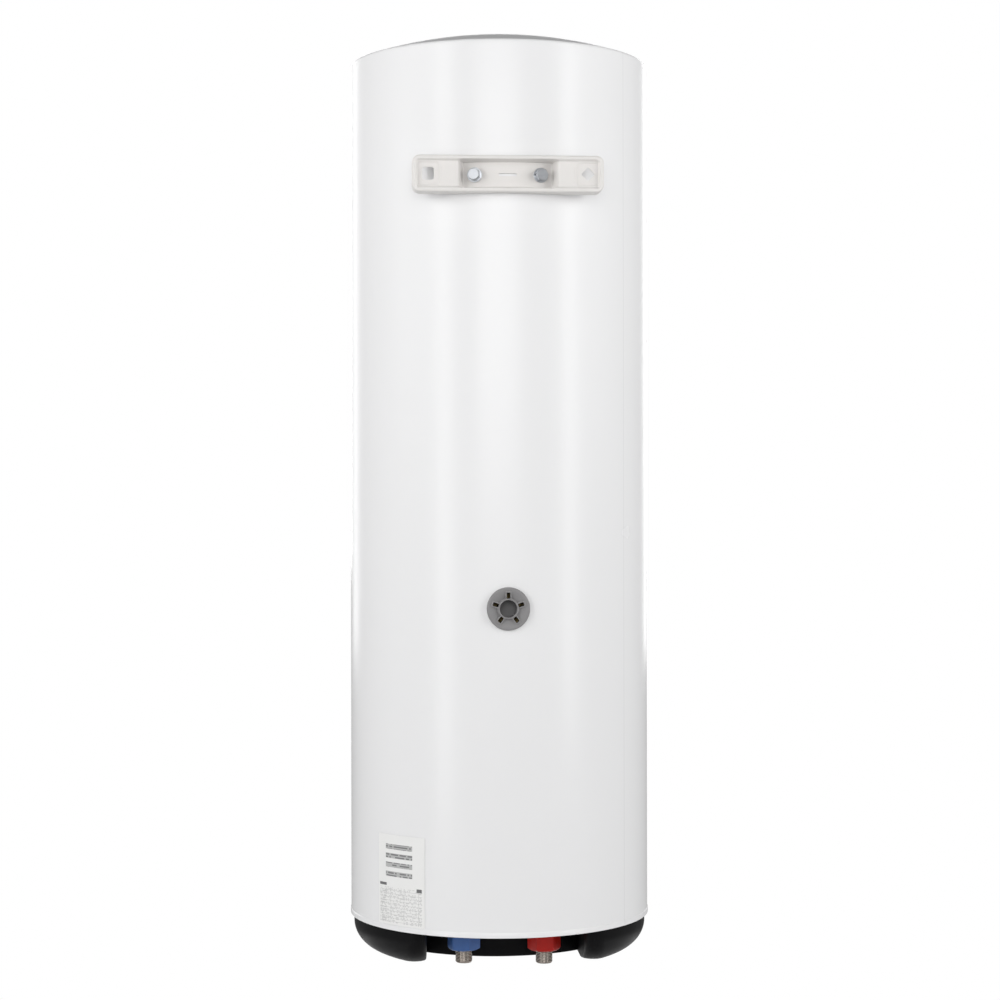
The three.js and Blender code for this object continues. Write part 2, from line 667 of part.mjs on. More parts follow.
function heatingElement() {
  const [[x, y]] = ELEMENT_LEGS;
  const legs = ELEMENT_LEGS.map(([legX, legY]) => {
    return rod(ELEMENT_RADIUS, FLANGE_FOOT - 10, ELEMENT_TOP + 0.2, 12).translate([legX, legY, 0]);
  });
  const bow = new THREE.CatmullRomCurve3(
    arcPoints(0, ELEMENT_TOP, -x, -x, 0, Math.PI, 10).map(([px, pz]) => new THREE.Vector3(px, y, pz)),
  );
  const section = new THREE.Shape();
  section.absarc(0, 0, ELEMENT_RADIUS, 0, 2 * Math.PI);
  const settings = { steps: 14, curveSegments: 6, extrudePath: bow };
  return join(solid(new THREE.ExtrudeGeometry(section, settings)), ...legs);
}

add('flange_seat', flangeSeat(), 'tankSteel');
add('flange_gasket', tube(MOUTH_RADIUS, 47.5, gasketFoot, gasketFoot + 2.4, 24), 'rubber');
add('heater_flange', heaterFlange(), 'zincSteel');
boltSpots.forEach(([x, y], i) => {
  const bolt = join(
    raised(hexagon(BOLT_FLATS), FLANGE_FOOT - GAP - BOLT_HEAD, FLANGE_FOOT - GAP),
    rod(4, FLANGE_FOOT - 1, 98, 12),
  );
  add(`flange_bolt_${i + 1}`, bolt.translate([x, y, 0]), 'zincSteel');
});
add('heating_element', heatingElement(), 'copper');

ELEMENT_LEGS.forEach(([x, y], i) => {
  const foot = FLANGE_FOOT - 10 - GAP;
  const terminal = join(rod(2.6, foot - 3, foot, 12), box(0, 0, foot - 7, 6.3, 0.8, 9));
  add(`element_terminal_${i + 1}`, terminal.translate([x, y, 0]), 'brass');
});

function anodeRod() {
  return turned([[0, 74], [3, 74], [3, 96], [11, 96], [11, 387], [8, 390], [0, 390]], 20);
}

function thermostatPocket() {
  return cut(rod(5.5, 78, 360, 12), rod(4.3, 70, 358, 12)).translate([...POCKET, 0]);
}

add('thermostat_pocket', thermostatPocket(), 'copper');

add('anode_rod', anodeRod().translate([...ANODE, 0]), 'magnesium');
const nut = cut(raised(hexagon(10), 76.7, FLANGE_FOOT - GAP), rod(3.3, 60, 90, 12));
add('anode_nut', nut.translate([...ANODE, 0]), 'zincSteel');
const earthScrew = join(rod(4.5, 78.5, FLANGE_FOOT - GAP, 12), rod(2.2, 80, 85.2, 12));
add('earth_screw', earthScrew.translate([...EARTH, 0]), 'brass');

// ---- thermostat, knob and thermal cut-out ----

const BODY_FOOT = 32;
const BODY_TOP = 76.4;
const CUTOUT = { x: 31.2, y: -26, foot: 38, top: 66 };

function thermostatBody() {
  const block = box(0, -38, (BODY_FOOT + BODY_TOP) / 2, 40, 52, BODY_TOP - BODY_FOOT);
  const shaftHole = rod(3.3, 20, BODY_FOOT + 14, 12).translate([0, KNOB_Y, 0]);
  return cut(block, shaftHole, rod(3.8, 60, 90, 12).translate([...POCKET, 0]));
}

function temperatureKnob() {
  const lobes = 12;
  const outline = Array.from({ length: 4 * lobes }, (_, i) => {
    const angle = (i * Math.PI) / (2 * lobes);
    const radius = 15.4 + 0.6 * Math.cos(lobes * angle);
    return new THREE.Vector2(radius * Math.cos(angle), radius * Math.sin(angle));
  });
  const grip = raised(new THREE.Shape(outline), 1, 11.5);
  const pointer = box(0, -11, 0.9, 2, 8, 1);
  const skirt = rod(20, 11, 15, 24);
  const bore = rod(3.3, 5, 20, 12);
  return cut(join(grip, skirt, pointer), bore).translate([0, KNOB_Y, 0]);
}

function thermalCutout() {
  const { x, y, foot, top } = CUTOUT;
  const buttonHole = rod(3.3, 30, foot + 10, 12).translate([x, y, 0]);
  return cut(box(x, y, (foot + top) / 2, 21.8, 22, top - foot), buttonHole);
}

add('thermostat_rod', rod(3.5, BODY_TOP - 10, 350, 12).translate([...POCKET, 0]), 'copper');
add('thermostat_body', thermostatBody(), 'whitePlastic');
add('thermostat_spindle', rod(3, 5.3, BODY_FOOT + 13, 12).translate([0, KNOB_Y, 0]), 'brass');
add('temperature_knob', temperatureKnob(), 'blackPlastic');
add('thermal_cutout', thermalCutout(), 'blackPlastic');
const button = rod(3, 34, CUTOUT.foot + 6.5, 12);
add('reset_button', button.translate([CUTOUT.x, CUTOUT.y, 0]), 'redPlastic');

// ---- wiring, lamp and cord inlet ----

const BLOCK = { x: -82, y: -28, foot: 38, top: PLATE_FOOT - GAP };

function terminalBlock() {
  const { x, y, foot, top } = BLOCK;
  const screws = [-8, 0, 8].map((offset) => rod(2.4, foot - 1, foot + 6, 12).translate([x, y + offset, 0]));
  return cut(box(x, y, (foot + top) / 2, 36, 26, top - foot), ...screws);
}

function lead(points) {
  const route = new THREE.CatmullRomCurve3(points.map(([x, y, z]) => new THREE.Vector3(x, y, z)));
  const section = new THREE.Shape();
  section.absarc(0, 0, 1.4, 0, 2 * Math.PI);
  return solid(new THREE.ExtrudeGeometry(section, { steps: 14, curveSegments: 3, extrudePath: route }));
}

const blockSide = BLOCK.x + 18 + 2 * GAP;
const terminalFoot = FLANGE_FOOT - 22 - GAP;

add('terminal_block', terminalBlock(), 'whitePlastic');
add('lead_live', lead([
  [blockSide, -36, 46], [blockSide + 5, -36, 46], [-50, -37, 40], [-34, -30, 29],
  [0, -18, 26.5], [24, -20, 27], [27, -21, 32], [27, -21, 37.5],
]), 'brownLead');
add('lead_neutral', lead([
  [blockSide, -28, 46], [blockSide + 5, -28, 46], [-50, -20, 45],
  [-36, 2, 46], [-22, 12, 52], [-20, 12, terminalFoot],
]), 'blueLead');
add('lead_switched', lead([
  [8, -11.5, 50], [8, -6, 50], [12, 3, 45], [19, 11, 48], [20, 12, terminalFoot],
]), 'brownLead');
add('earth_lead', lead([
  [blockSide, -20, 46], [blockSide + 5, -20, 46], [-50, -19, 50],
  [-36, -19, 60], [...EARTH, 72], [...EARTH, 78.1],
]), 'greenLead');

function pilotLens() {
  return cut(join(rod(5, 0.5, 14, 20), rod(7, 2.8, 4.2, 20)), rod(4, 1.6, 20, 20)).translate([...PILOT, 0]);
}

function cableGrommet() {
  return turned([
    [3.6, 0.2],
    [10.6, 0.2],
    [10.6, 2.5],
    [7.1, 2.5],
    [7.1, 6.3],
    [10, 6.3],
    [8.5, 9.5],
    [3.6, 9.5],
  ], 24).translate([...GROMMET, 0]);
}

add('pilot_lens', pilotLens(), 'redLens');
add('pilot_lamp', rod(3, 3, 15, 12).translate([...PILOT, 0]), 'lampGlass');
add('cable_grommet', cableGrommet(), 'rubber');

// ---- origin at the wall ----

heater.position.set(0, -WALL_PLANE, -(BRACKET_HEIGHT + (BRACKET_DEPTH - RIM_WIDTH) / 2));

export default heater;
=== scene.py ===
# %% [markdown]
# # A wall-hung water heater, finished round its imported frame
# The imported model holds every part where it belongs, but plainly. This lesson gives the parts that
# show their real outlines, and gives every surface, seen or not, a procedural finish. We load the
# frame first, because all that follows takes its sizes and places from it.

# %% Load the frame
import json
import math

import bmesh
import bpy
from mathutils import Matrix, Vector


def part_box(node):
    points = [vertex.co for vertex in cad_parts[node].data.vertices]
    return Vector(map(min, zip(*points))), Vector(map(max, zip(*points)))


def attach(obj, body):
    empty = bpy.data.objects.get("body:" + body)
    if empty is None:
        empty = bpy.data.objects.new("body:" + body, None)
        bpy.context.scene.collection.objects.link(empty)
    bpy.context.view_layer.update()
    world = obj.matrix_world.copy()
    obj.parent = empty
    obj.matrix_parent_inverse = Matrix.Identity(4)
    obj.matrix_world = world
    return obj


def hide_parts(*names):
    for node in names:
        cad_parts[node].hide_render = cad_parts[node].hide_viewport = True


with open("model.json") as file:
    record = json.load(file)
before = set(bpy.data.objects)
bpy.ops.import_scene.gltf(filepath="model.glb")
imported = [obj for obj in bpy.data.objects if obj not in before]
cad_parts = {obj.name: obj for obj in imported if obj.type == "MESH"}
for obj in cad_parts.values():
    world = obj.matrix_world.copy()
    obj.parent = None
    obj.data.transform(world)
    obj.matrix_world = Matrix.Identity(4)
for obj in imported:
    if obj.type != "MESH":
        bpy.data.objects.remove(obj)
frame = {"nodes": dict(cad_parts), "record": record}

scene = bpy.context.scene
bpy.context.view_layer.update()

# %% [markdown]
# A heater is round, so it is easiest to lay out from its own axis. Every cell below works in
# millimetres from the tank's axis, with height 0 at the underside, x across the back and y towards
# the wall. One matrix takes a finished mesh to the frame's metres, so each object can stay at the
# origin with its place in its mesh.

# %% Axis, underside and the matrix to the frame
MM = 1000
casing_low, casing_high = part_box("outer_casing")
origin = (casing_low + casing_high) / 2
origin.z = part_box("bottom_cover")[0].z
to_frame = Matrix.Translation(origin) @ Matrix.Scale(1 / MM, 4)


def measure(name):
    """Lowest and highest corner of a CAD node, in millimetres from the axis and the underside."""
    low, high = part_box(name)
    return (low - origin) * MM, (high - origin) * MM


def middle(name):
    low, high = measure(name)
    return (low + high) / 2


case_foot = measure("outer_casing")[0].z
lid_top = measure("top_cover")[1].z
print(f"casing foot {case_foot:.1f} mm, lid top {lid_top:.1f} mm above the underside")

# %% [markdown]
# A product shot of a tall white cylinder needs a long lens, far back and level, so that its sides
# stay parallel. The camera looks at the back of the heater, a few degrees off the middle. It is
# built from its three axes, which also holds the slight lean of a hand-levelled tripod.

# %% Camera
VIEW_TURN = math.radians(3.5)
VIEW_DISTANCE = 2.798
VIEW_HEIGHT = 0.5267
VIEW_LEAN = math.radians(0.096)
VIEW_ASIDE = 0.0017
LENS = 78.19

towards = Vector((math.sin(VIEW_TURN), math.cos(VIEW_TURN), 0))
level_right = Vector((-towards.y, towards.x, 0))
level_up = Vector((0, 0, 1))
right = level_right * math.cos(VIEW_LEAN) - level_up * math.sin(VIEW_LEAN)
up = level_right * math.sin(VIEW_LEAN) + level_up * math.cos(VIEW_LEAN)
stand = Vector((origin.x, origin.y, casing_low.z + VIEW_HEIGHT))
stand += towards * VIEW_DISTANCE + level_right * VIEW_ASIDE

camera = bpy.data.objects.new("camera", bpy.data.cameras.new("camera"))
camera.data.lens = LENS
camera.matrix_world = Matrix.Translation(stand) @ Matrix((right, up, towards)).transposed().to_4x4()
scene.collection.objects.link(camera)
scene.camera = camera
print("camera at", [round(c, 3) for c in stand])

# %% [markdown]
# Node trees are easier to read when one line makes one node. This helper makes a node, sets its
# options and fills its inputs, with a link where the value is another node's socket. Shader trees
# and geometry trees share it.

# %% A node in one line
def node(tree, kind, inputs=(), **options):
    made = tree.nodes.new(kind)
    for key, value in options.items():
        setattr(made, key, value)
    for key, value in dict(inputs).items():
        if isinstance(value, bpy.types.NodeSocket):
            tree.links.new(value, made.inputs[key])
        else:
            made.inputs[key].default_value = value
    return made


def maths(tree, operation, *values):
    return node(tree, "ShaderNodeMath", dict(enumerate(values)), operation=operation).outputs[0]


# %% [markdown]
# White enamel shows its shape only by what it reflects. Two tall softboxes draw the two bright
# stripes down the casing, two wide ones level with the bracket let the light fall off towards
# the foot, a large one behind the camera fills the hollows of the bracket, and three on the room
# side keep the front from going grey. The air round the heater lights
# it softly, less than a white wall would, so the edges turn away darker. The softboxes themselves
# are hidden from the camera, and the two wide ones from reflections, so only the stripes show.

# %% Studio light
AIR_LIGHT = 0.26


def softbox(name, turn, distance, height, width, length, glow, mirrored=True):
    """An area light round the axis, turned from the wall side towards +X, facing the axis."""
    lamp = bpy.data.lights.new(name, "AREA")
    lamp.shape = "RECTANGLE"
    lamp.size = width
    lamp.size_y = length
    lamp.energy = glow * 4 * width * length
    holder = bpy.data.objects.new(name, lamp)
    angle = math.radians(turn)
    place = Vector((math.sin(angle) * distance, math.cos(angle) * distance, height))
    aim = Vector((0, 0, min(height, 1.0)))
    holder.matrix_world = (
        Matrix.Translation(Vector((origin.x, origin.y, origin.z)) + place)
        @ (place - aim).to_track_quat("Z", "Y").to_matrix().to_4x4()
    )
    holder.visible_camera = False
    holder.visible_glossy = mirrored
    scene.collection.objects.link(holder)


softbox("stripe_light_left", 43, 2.0, 0.95, 0.4, 2.1, 2.2)
softbox("stripe_light_right", -50, 2.0, 1.05, 0.4, 1.9, 2.2)
softbox("side_light_left", 65, 2.0, 1.2, 1.6, 1.0, 2.8, mirrored=False)
softbox("side_light_right", -65, 2.0, 1.2, 1.6, 1.0, 2.8, mirrored=False)
softbox("front_light", 3.5, 3.0, 1.2, 1.6, 1.2, 2.5)
softbox("room_light_left", 145, 2.4, 1.1, 0.6, 1.8, 1.6)
softbox("room_light_right", -150, 2.4, 1.1, 0.6, 1.8, 1.6)
softbox("room_light_middle", 180, 2.6, 1.2, 1.8, 1.6, 2.6)

world = bpy.data.worlds.new("studio air")
world.use_nodes = True
scene.world = world
air = world.node_tree
air.nodes.clear()
soft_air = node(air, "ShaderNodeBackground", {"Color": (1, 1, 1, 1), "Strength": AIR_LIGHT})
white_backdrop = node(air, "ShaderNodeBackground", {"Color": (1, 1, 1, 1), "Strength": 1.0})
seen = node(air, "ShaderNodeLightPath").outputs["Is Camera Ray"]
blend = node(air, "ShaderNodeMixShader", {0: seen, 1: soft_air.outputs[0], 2: white_backdrop.outputs[0]})
node(air, "ShaderNodeOutputWorld", {"Surface": blend.outputs[0]})
scene.view_settings.view_transform = "Standard"

# %% [markdown]
# Nearly every finish on a heater is one colour with something small going on in it: the orange
# peel of enamel, the grain of moulded plastic, the drawing marks of a pipe. So one recipe makes
# them: a slow noise clouds the colour and the gloss, and a fine noise of the real grain's size
# raises the surface. Sizes are in millimetres. What is even all over, such as how metallic the
# surface is, goes straight on the shader.

# %% The common finish
def surface(name, colour, roughness, grain, height, cloud=(60, 0.03), stretch=(1, 1, 1), cells=False,
            gloss_spread=0.15, **even):
    """Colour in linear light; grain and height in millimetres; cloud is a size and a share."""
    made = bpy.data.materials.new(name)
    made.use_nodes = True
    made.diffuse_color = (*colour, 1)
    tree = made.node_tree
    shader = tree.nodes["Principled BSDF"]
    place = node(tree, "ShaderNodeTexCoord").outputs["Object"]
    drawn = node(tree, "ShaderNodeMapping", {"Vector": place, "Scale": stretch}).outputs[0]
    cloud_size, cloud_share = cloud
    slow = node(tree, "ShaderNodeTexNoise",
                {"Vector": drawn, "Scale": MM / cloud_size, "Detail": 4}).outputs[0]
    dark = [c * (1 - cloud_share) for c in colour]
    light = [min(1, c * (1 + cloud_share)) for c in colour]
    tint = node(tree, "ShaderNodeMix", {"Factor": slow, "A": (*dark, 1), "B": (*light, 1)}, data_type="RGBA")
    tree.links.new(tint.outputs["Result"], shader.inputs["Base Color"])
    least, most = roughness * (1 - gloss_spread), min(1, roughness * (1 + gloss_spread))
    patch = node(tree, "ShaderNodeMapRange", {"Value": slow, "To Min": least, "To Max": most})
    tree.links.new(patch.outputs[0], shader.inputs["Roughness"])
    if cells:
        fine = node(tree, "ShaderNodeTexVoronoi", {"Vector": drawn, "Scale": MM / grain}).outputs["Distance"]
    else:
        fine = node(tree, "ShaderNodeTexNoise",
                    {"Vector": drawn, "Scale": MM / grain, "Detail": 3}).outputs[0]
    relief = node(tree, "ShaderNodeBump", {"Height": fine, "Distance": height / MM})
    tree.links.new(relief.outputs[0], shader.inputs["Normal"])
    for key, value in even.items():
        shader.inputs[key.replace("_", " ").title().replace("Ior", "IOR")].default_value = value
    return made


finishes = {
    # The lid's enamel is the casing's white set darker, a painted shade on the lid.
    "lid_enamel": surface("lid enamel with painted shade", (0.70, 0.70, 0.71), 0.32, 2.6, 0.012, cloud=(140, 0.004),
                          gloss_spread=0.04),
    "bracket_enamel": surface("bracket enamel", (0.75, 0.73, 0.71), 0.45, 1.2, 0.03, cloud=(14, 0.03)),
    "cover_plastic": surface("cover plastic", (0.006, 0.006, 0.0065), 0.42, 0.7, 0.03,
                             cloud=(25, 0.2), specular_ior_level=0.08),
    "knob_plastic": surface("knob plastic", (0.012, 0.012, 0.013), 0.35, 0.5, 0.03, cloud=(10, 0.2)),
    "port_plastic": surface("port plastic", (0.235, 0.23, 0.233), 0.5, 0.6, 0.04, cloud=(9, 0.08)),
    "cold_plastic": surface("cold collar plastic", (0.045, 0.125, 0.36), 0.42, 0.8, 0.03, cloud=(12, 0.12)),
    "hot_plastic": surface("hot collar plastic", (0.45, 0.010, 0.005), 0.42, 0.8, 0.03, cloud=(12, 0.12),
                           specular_ior_level=0.3),
    "white_plastic": surface("white plastic", (0.78, 0.78, 0.74), 0.45, 0.5, 0.02, cloud=(12, 0.04)),
    "zinc_steel": surface("zinc plate", (0.62, 0.64, 0.67), 0.34, 0.9, 0.02, cloud=(5, 0.14), metallic=1.0),
    "pipe_steel": surface("nickelled pipe", (0.34, 0.30, 0.265), 0.2, 0.8, 0.01,
                          cloud=(7, 0.04), stretch=(1, 1, 0.12), metallic=1.0),
    "tank_steel": surface("tank steel", (0.30, 0.31, 0.32), 0.5, 1.5, 0.05, cloud=(45, 0.22),
                          stretch=(1, 1, 0.25), metallic=0.9),
    "insulation": surface("foam", (0.72, 0.58, 0.30), 0.95, 1.6, 0.5, cloud=(30, 0.12), cells=True),
    "rubber_black": surface("rubber", (0.014, 0.014, 0.014), 0.75, 0.6, 0.05, cloud=(8, 0.2)),
    "copper_tube": surface("copper", (0.66, 0.30, 0.18), 0.36, 1.0, 0.02, cloud=(16, 0.3), metallic=1.0),
    "brass_metal": surface("brass", (0.62, 0.44, 0.18), 0.32, 0.8, 0.015, cloud=(6, 0.15), metallic=1.0),
    "anode_metal": surface("magnesium", (0.42, 0.43, 0.41), 0.65, 1.4, 0.15, cloud=(9, 0.2), metallic=0.8),
    "lamp_glass": surface("lamp glass", (0.80, 0.42, 0.22), 0.12, 2.0, 0.01, cloud=(6, 0.2),
                          transmission_weight=0.6),
    "lens_red": surface("red lens", (0.55, 0.02, 0.012), 0.14, 1.5, 0.015, cloud=(5, 0.12),
                        transmission_weight=0.35),
    "lead_brown": surface("brown lead", (0.13, 0.055, 0.022), 0.5, 0.8, 0.02, cloud=(8, 0.12)),
    "lead_blue": surface("blue lead", (0.03, 0.12, 0.40), 0.5, 0.8, 0.02, cloud=(8, 0.12)),
}
print("finishes:", len(finishes))

# %% [markdown]
# The casing is one sheet of painted steel, rolled round and closed down one side. Its lap is all
# but invisible, a hair of shadow from top to bottom. Cutting it into the mesh would cost thousands
# of faces, so that shadow is painted instead: the angle round the axis picks out a thin line of
# painted shadow, a little darker than the sheet.

# %% Casing enamel with a painted shadow line at its lap seam
SEAM_TURN = math.radians(-51)
SEAM_SHADOW_WIDTH = 0.9
case_radius = measure("outer_casing")[1].x - 0.8


def enamel_with_painted_seam_shadow():
    made = surface("casing enamel", (0.83, 0.83, 0.835), 0.27, 3.0, 0.012, cloud=(140, 0.003),
                   gloss_spread=0.03)
    tree = made.node_tree
    shader = tree.nodes["Principled BSDF"]
    place = node(tree, "ShaderNodeTexCoord").outputs["Object"]
    centred = node(tree, "ShaderNodeMapping", {"Vector": place, "Location": (-origin.x, -origin.y, 0)})
    parts = node(tree, "ShaderNodeSeparateXYZ", {0: centred.outputs[0]}).outputs
    turn = maths(tree, "ARCTAN2", parts["X"], parts["Y"])
    off = maths(tree, "ABSOLUTE", maths(tree, "SUBTRACT", turn, SEAM_TURN))
    half = SEAM_SHADOW_WIDTH / 2 / case_radius
    line = node(tree, "ShaderNodeMapRange", {"Value": off, "From Min": half, "From Max": 2 * half,
                                             "To Min": 1, "To Max": 0}).outputs[0]
    # Painted shadow: the lap seam's hair of shadow is a thin darker line mixed into the base colour.
    plain = shader.inputs["Base Color"].links[0].from_socket
    shade = node(tree, "ShaderNodeMix", {"A": plain, "B": (0.76, 0.76, 0.765, 1), "Factor": line},
                 data_type="RGBA")
    tree.links.new(shade.outputs["Result"], shader.inputs["Base Color"])
    return made


finishes["casing_enamel"] = enamel_with_painted_seam_shadow()

# %% [markdown]
# An earth lead is green with a yellow stripe wound round it. Seen close, that is a band that comes
# and goes along the wire, which a wave on the object's coordinates gives with no unwrapping.

# %% Green and yellow lead
def striped_lead():
    made = surface("earth lead", (0.05, 0.28, 0.04), 0.5, 0.8, 0.02, cloud=(8, 0.1))
    tree = made.node_tree
    shader = tree.nodes["Principled BSDF"]
    place = node(tree, "ShaderNodeTexCoord").outputs["Object"]
    wave = node(tree, "ShaderNodeTexWave", {"Vector": place, "Scale": MM / 25, "Distortion": 1.0},
                bands_direction="DIAGONAL").outputs["Fac"]
    edge = maths(tree, "GREATER_THAN", wave, 0.62)
    plain = shader.inputs["Base Color"].links[0].from_socket
    both = node(tree, "ShaderNodeMix", {"A": plain, "B": (0.80, 0.62, 0.03, 1), "Factor": edge},
                data_type="RGBA")
    tree.links.new(both.outputs["Result"], shader.inputs["Base Color"])
    return made


finishes["lead_green"] = striped_lead()

# %% [markdown]
# Geometry Nodes are built here in code, so each tree needs the same start and end: one geometry
# in, named sizes, a material, and at the end instances made real and dressed. A small runner sets
# the modifier's inputs by their identifiers, evaluates it once and keeps a plain mesh.

# %% Starting, ending and running a geometry tree
def start_tree(name, **sizes):
    tree = bpy.data.node_groups.new(name, "GeometryNodeTree")
    sockets = tree.interface
    sockets.new_socket("Geometry", in_out="OUTPUT", socket_type="NodeSocketGeometry")
    sockets.new_socket("Geometry", in_out="INPUT", socket_type="NodeSocketGeometry")
    for label, value in sizes.items():
        kind = "NodeSocketInt" if isinstance(value, int) else "NodeSocketFloat"
        sockets.new_socket(label, in_out="INPUT", socket_type=kind).default_value = value
    sockets.new_socket("Material", in_out="INPUT", socket_type="NodeSocketMaterial")
    return tree, node(tree, "NodeGroupInput").outputs


def end_tree(tree, geometry, given):
    real = node(tree, "GeometryNodeRealizeInstances", {"Geometry": geometry})
    dressed = node(tree, "GeometryNodeSetMaterial",
                   {"Geometry": real.outputs[0], "Material": given["Material"]})
    node(tree, "NodeGroupOutput", {"Geometry": dressed.outputs[0]})


def evaluated(mesh, prepare):
    """A plain mesh from a mesh with the modifiers that prepare() puts on it."""
    holder = bpy.data.objects.new("workpiece", mesh)
    scene.collection.objects.link(holder)
    prepare(holder)
    graph = bpy.context.evaluated_depsgraph_get()
    result = bpy.data.meshes.new_from_object(holder.evaluated_get(graph))
    bpy.data.objects.remove(holder)
    return result


def grown(tree, mesh, finish, **sizes):
    def prepare(holder):
        modifier = holder.modifiers.new(tree.name, "NODES")
        modifier.node_group = tree
        for item in tree.interface.items_tree:
            if item.in_out == "INPUT" and item.name in sizes:
                modifier[item.identifier] = sizes[item.name]
            elif item.in_out == "INPUT" and item.name == "Material":
                modifier[item.identifier] = finishes[finish]
    return evaluated(mesh, prepare)


# %% [markdown]
# Most of the heater is bodies of revolution: the rolled casing, the pressed lid, the moulded
# cover, pipes and knobs. Blender could spin an outline with the Screw modifier, but a geometry
# tree keeps the number of sides as a named input for all of them. The outline comes in as edges,
# with x as the radius and y as the height, and is swept along a very small circle.

# %% Turned pieces as a geometry tree
SWEEP_RADIUS = 1.0
turning, given = start_tree("turned piece", Sides=64)
outline = node(turning, "GeometryNodeMeshToCurve", {"Mesh": given["Geometry"]})
shifted = node(turning, "GeometryNodeTransform",
               {"Geometry": outline.outputs[0], "Translation": (-SWEEP_RADIUS, 0, 0)})
ring = node(turning, "GeometryNodeCurvePrimitiveCircle",
            {"Resolution": given["Sides"], "Radius": SWEEP_RADIUS})
level = node(turning, "GeometryNodeSetCurveNormal", {"Curve": ring.outputs[0]}, mode="Z_UP")
swept = node(turning, "GeometryNodeCurveToMesh",
             {"Curve": level.outputs[0], "Profile Curve": shifted.outputs[0]})
closed = node(turning, "GeometryNodeMergeByDistance", {"Geometry": swept.outputs[0], "Distance": 0.001})
end_tree(turning, closed.outputs[0], given)


def tidied(mesh):
    """Doubles merged and every face turned outwards."""
    work = bmesh.new()
    work.from_mesh(mesh)
    bmesh.ops.remove_doubles(work, verts=work.verts, dist=0.001)
    bmesh.ops.dissolve_degenerate(work, edges=work.edges, dist=0.001)
    bmesh.ops.recalc_face_normals(work, faces=work.faces)
    work.to_mesh(mesh)
    work.free()
    return mesh


def turned(points, sides=64, finish="zinc_steel"):
    """A closed [radius, height] outline, turned round the axis."""
    on_axis = points[0][0] == 0 and points[-1][0] == 0
    count = len(points)
    edges = [(i, i + 1) for i in range(count - 1)] + ([] if on_axis else [(count - 1, 0)])
    drawn = bpy.data.meshes.new("outline")
    drawn.from_pydata([(r, h, 0) for r, h in points], edges, [])
    made = grown(turning, drawn, finish, Sides=sides)
    low = min(v.co.z for v in made.vertices)
    if abs(low - min(h for _, h in points)) > 0.01:
        made.transform(Matrix.Scale(-1, 4, (0, 0, 1)))
    return tidied(made)


def arc(cx, cy, rx, ry, start, stop, steps):
    """Points of an elliptical arc, its angles in degrees."""
    angles = [math.radians(start + (stop - start) * i / steps) for i in range(steps + 1)]
    return [(cx + rx * math.cos(a), cy + ry * math.sin(a)) for a in angles]


# %% [markdown]
# Holes, bays and wells are cut with exact booleans between closed solids, as a toolmaker cuts a
# mould. Every cut runs on a work object that is thrown away, so only the resulting mesh is left.
# Cutters overshoot the face that they open, because two faces in one plane never cut cleanly.

# %% Cutting and joining solids
def combined(base, others, operation):
    holders = []

    def prepare(holder):
        for i, other in enumerate(others):
            tool = bpy.data.objects.new(f"tool {i}", other)
            scene.collection.objects.link(tool)
            holders.append(tool)
            modifier = holder.modifiers.new(f"step {i}", "BOOLEAN")
            modifier.operation = operation
            modifier.solver = "EXACT"
            modifier.object = tool
    result = evaluated(base, prepare)
    for tool in holders:
        bpy.data.objects.remove(tool)
    return tidied(result)


def cut(base, *others):
    return combined(base, others, "DIFFERENCE")


def join(base, *others):
    return combined(base, others, "UNION")


def prism(points, foot, top):
    """An outline in the plan, drawn up from foot to top."""
    work = bmesh.new()
    floor = work.faces.new([work.verts.new((x, y, foot)) for x, y in points])
    raised = bmesh.ops.extrude_face_region(work, geom=[floor])["geom"]
    bmesh.ops.translate(work, verts=[g for g in raised if isinstance(g, bmesh.types.BMVert)],
                        vec=(0, 0, top - foot))
    bmesh.ops.recalc_face_normals(work, faces=work.faces)
    mesh = bpy.data.meshes.new("prism")
    work.to_mesh(mesh)
    work.free()
    return mesh


def rounded_rectangle(width, height, radius, steps=8):
    w, h = width / 2 - radius, height / 2 - radius
    corners = ((w, h, 0), (-w, h, 90), (-w, -h, 180), (w, -h, 270))
    return [p for x, y, start in corners for p in arc(x, y, radius, radius, start, start + 90, steps)]


def rod(radius, foot, top, sides=48):
    return turned([(0, foot), (radius, foot), (radius, top), (0, top)], sides)


def moved(mesh, x=0, y=0, z=0):
    mesh.transform(Matrix.Translation((x, y, z)))
    return mesh


def outwards(mesh, angle, height):
    """Turns a piece built up along Z so that it points at the wall, turned towards +X."""
    lay = Matrix.Rotation(math.radians(-90), 4, "X")
    mesh.transform(Matrix.Translation((0, 0, height)) @ Matrix.Rotation(-angle, 4, "Z") @ lay)
    return mesh


def softened(mesh, width, angle=35, segments=2):
    """Sharp edges rounded, as no moulding or pressing leaves them sharp."""
    def prepare(holder):
        modifier = holder.modifiers.new("edge radius", "BEVEL")
        modifier.width = width
        modifier.segments = segments
        modifier.limit_method = "ANGLE"
        modifier.angle_limit = math.radians(angle)
        modifier.use_clamp_overlap = True
        modifier.miter_outer = "MITER_ARC"
    return tidied(evaluated(mesh, prepare))


# %% [markdown]
# A finished mesh becomes a piece in one step: it goes to the frame, gets its finish and smooth
# shading up to real edges, rides on its body, and stands for the CAD nodes that it replaces.

# %% A finished piece
def piece(name, mesh, slot, *nodes, body="heater", crease=32):
    mesh.transform(to_frame)
    mesh.materials.clear()
    mesh.materials.append(finishes[slot])
    mesh.shade_smooth()
    mesh.set_sharp_from_angle(angle=math.radians(crease))
    made = bpy.data.objects.new(name, mesh)
    scene.collection.objects.link(made)
    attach(made, body)
    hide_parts(*nodes)
    print(f"{name}: {len(mesh.polygons)} faces, stands for {', '.join(nodes)}")
    return made


# %% [markdown]
# The casing is painted sheet, rolled into a tube. Its foot is hemmed, folded back on itself so that
# no raw edge shows, and its head is curled in over the lid. A ring of faces every few centimetres
# keeps the long wall even where the holes are cut for the hanger bolts and the foam plug.

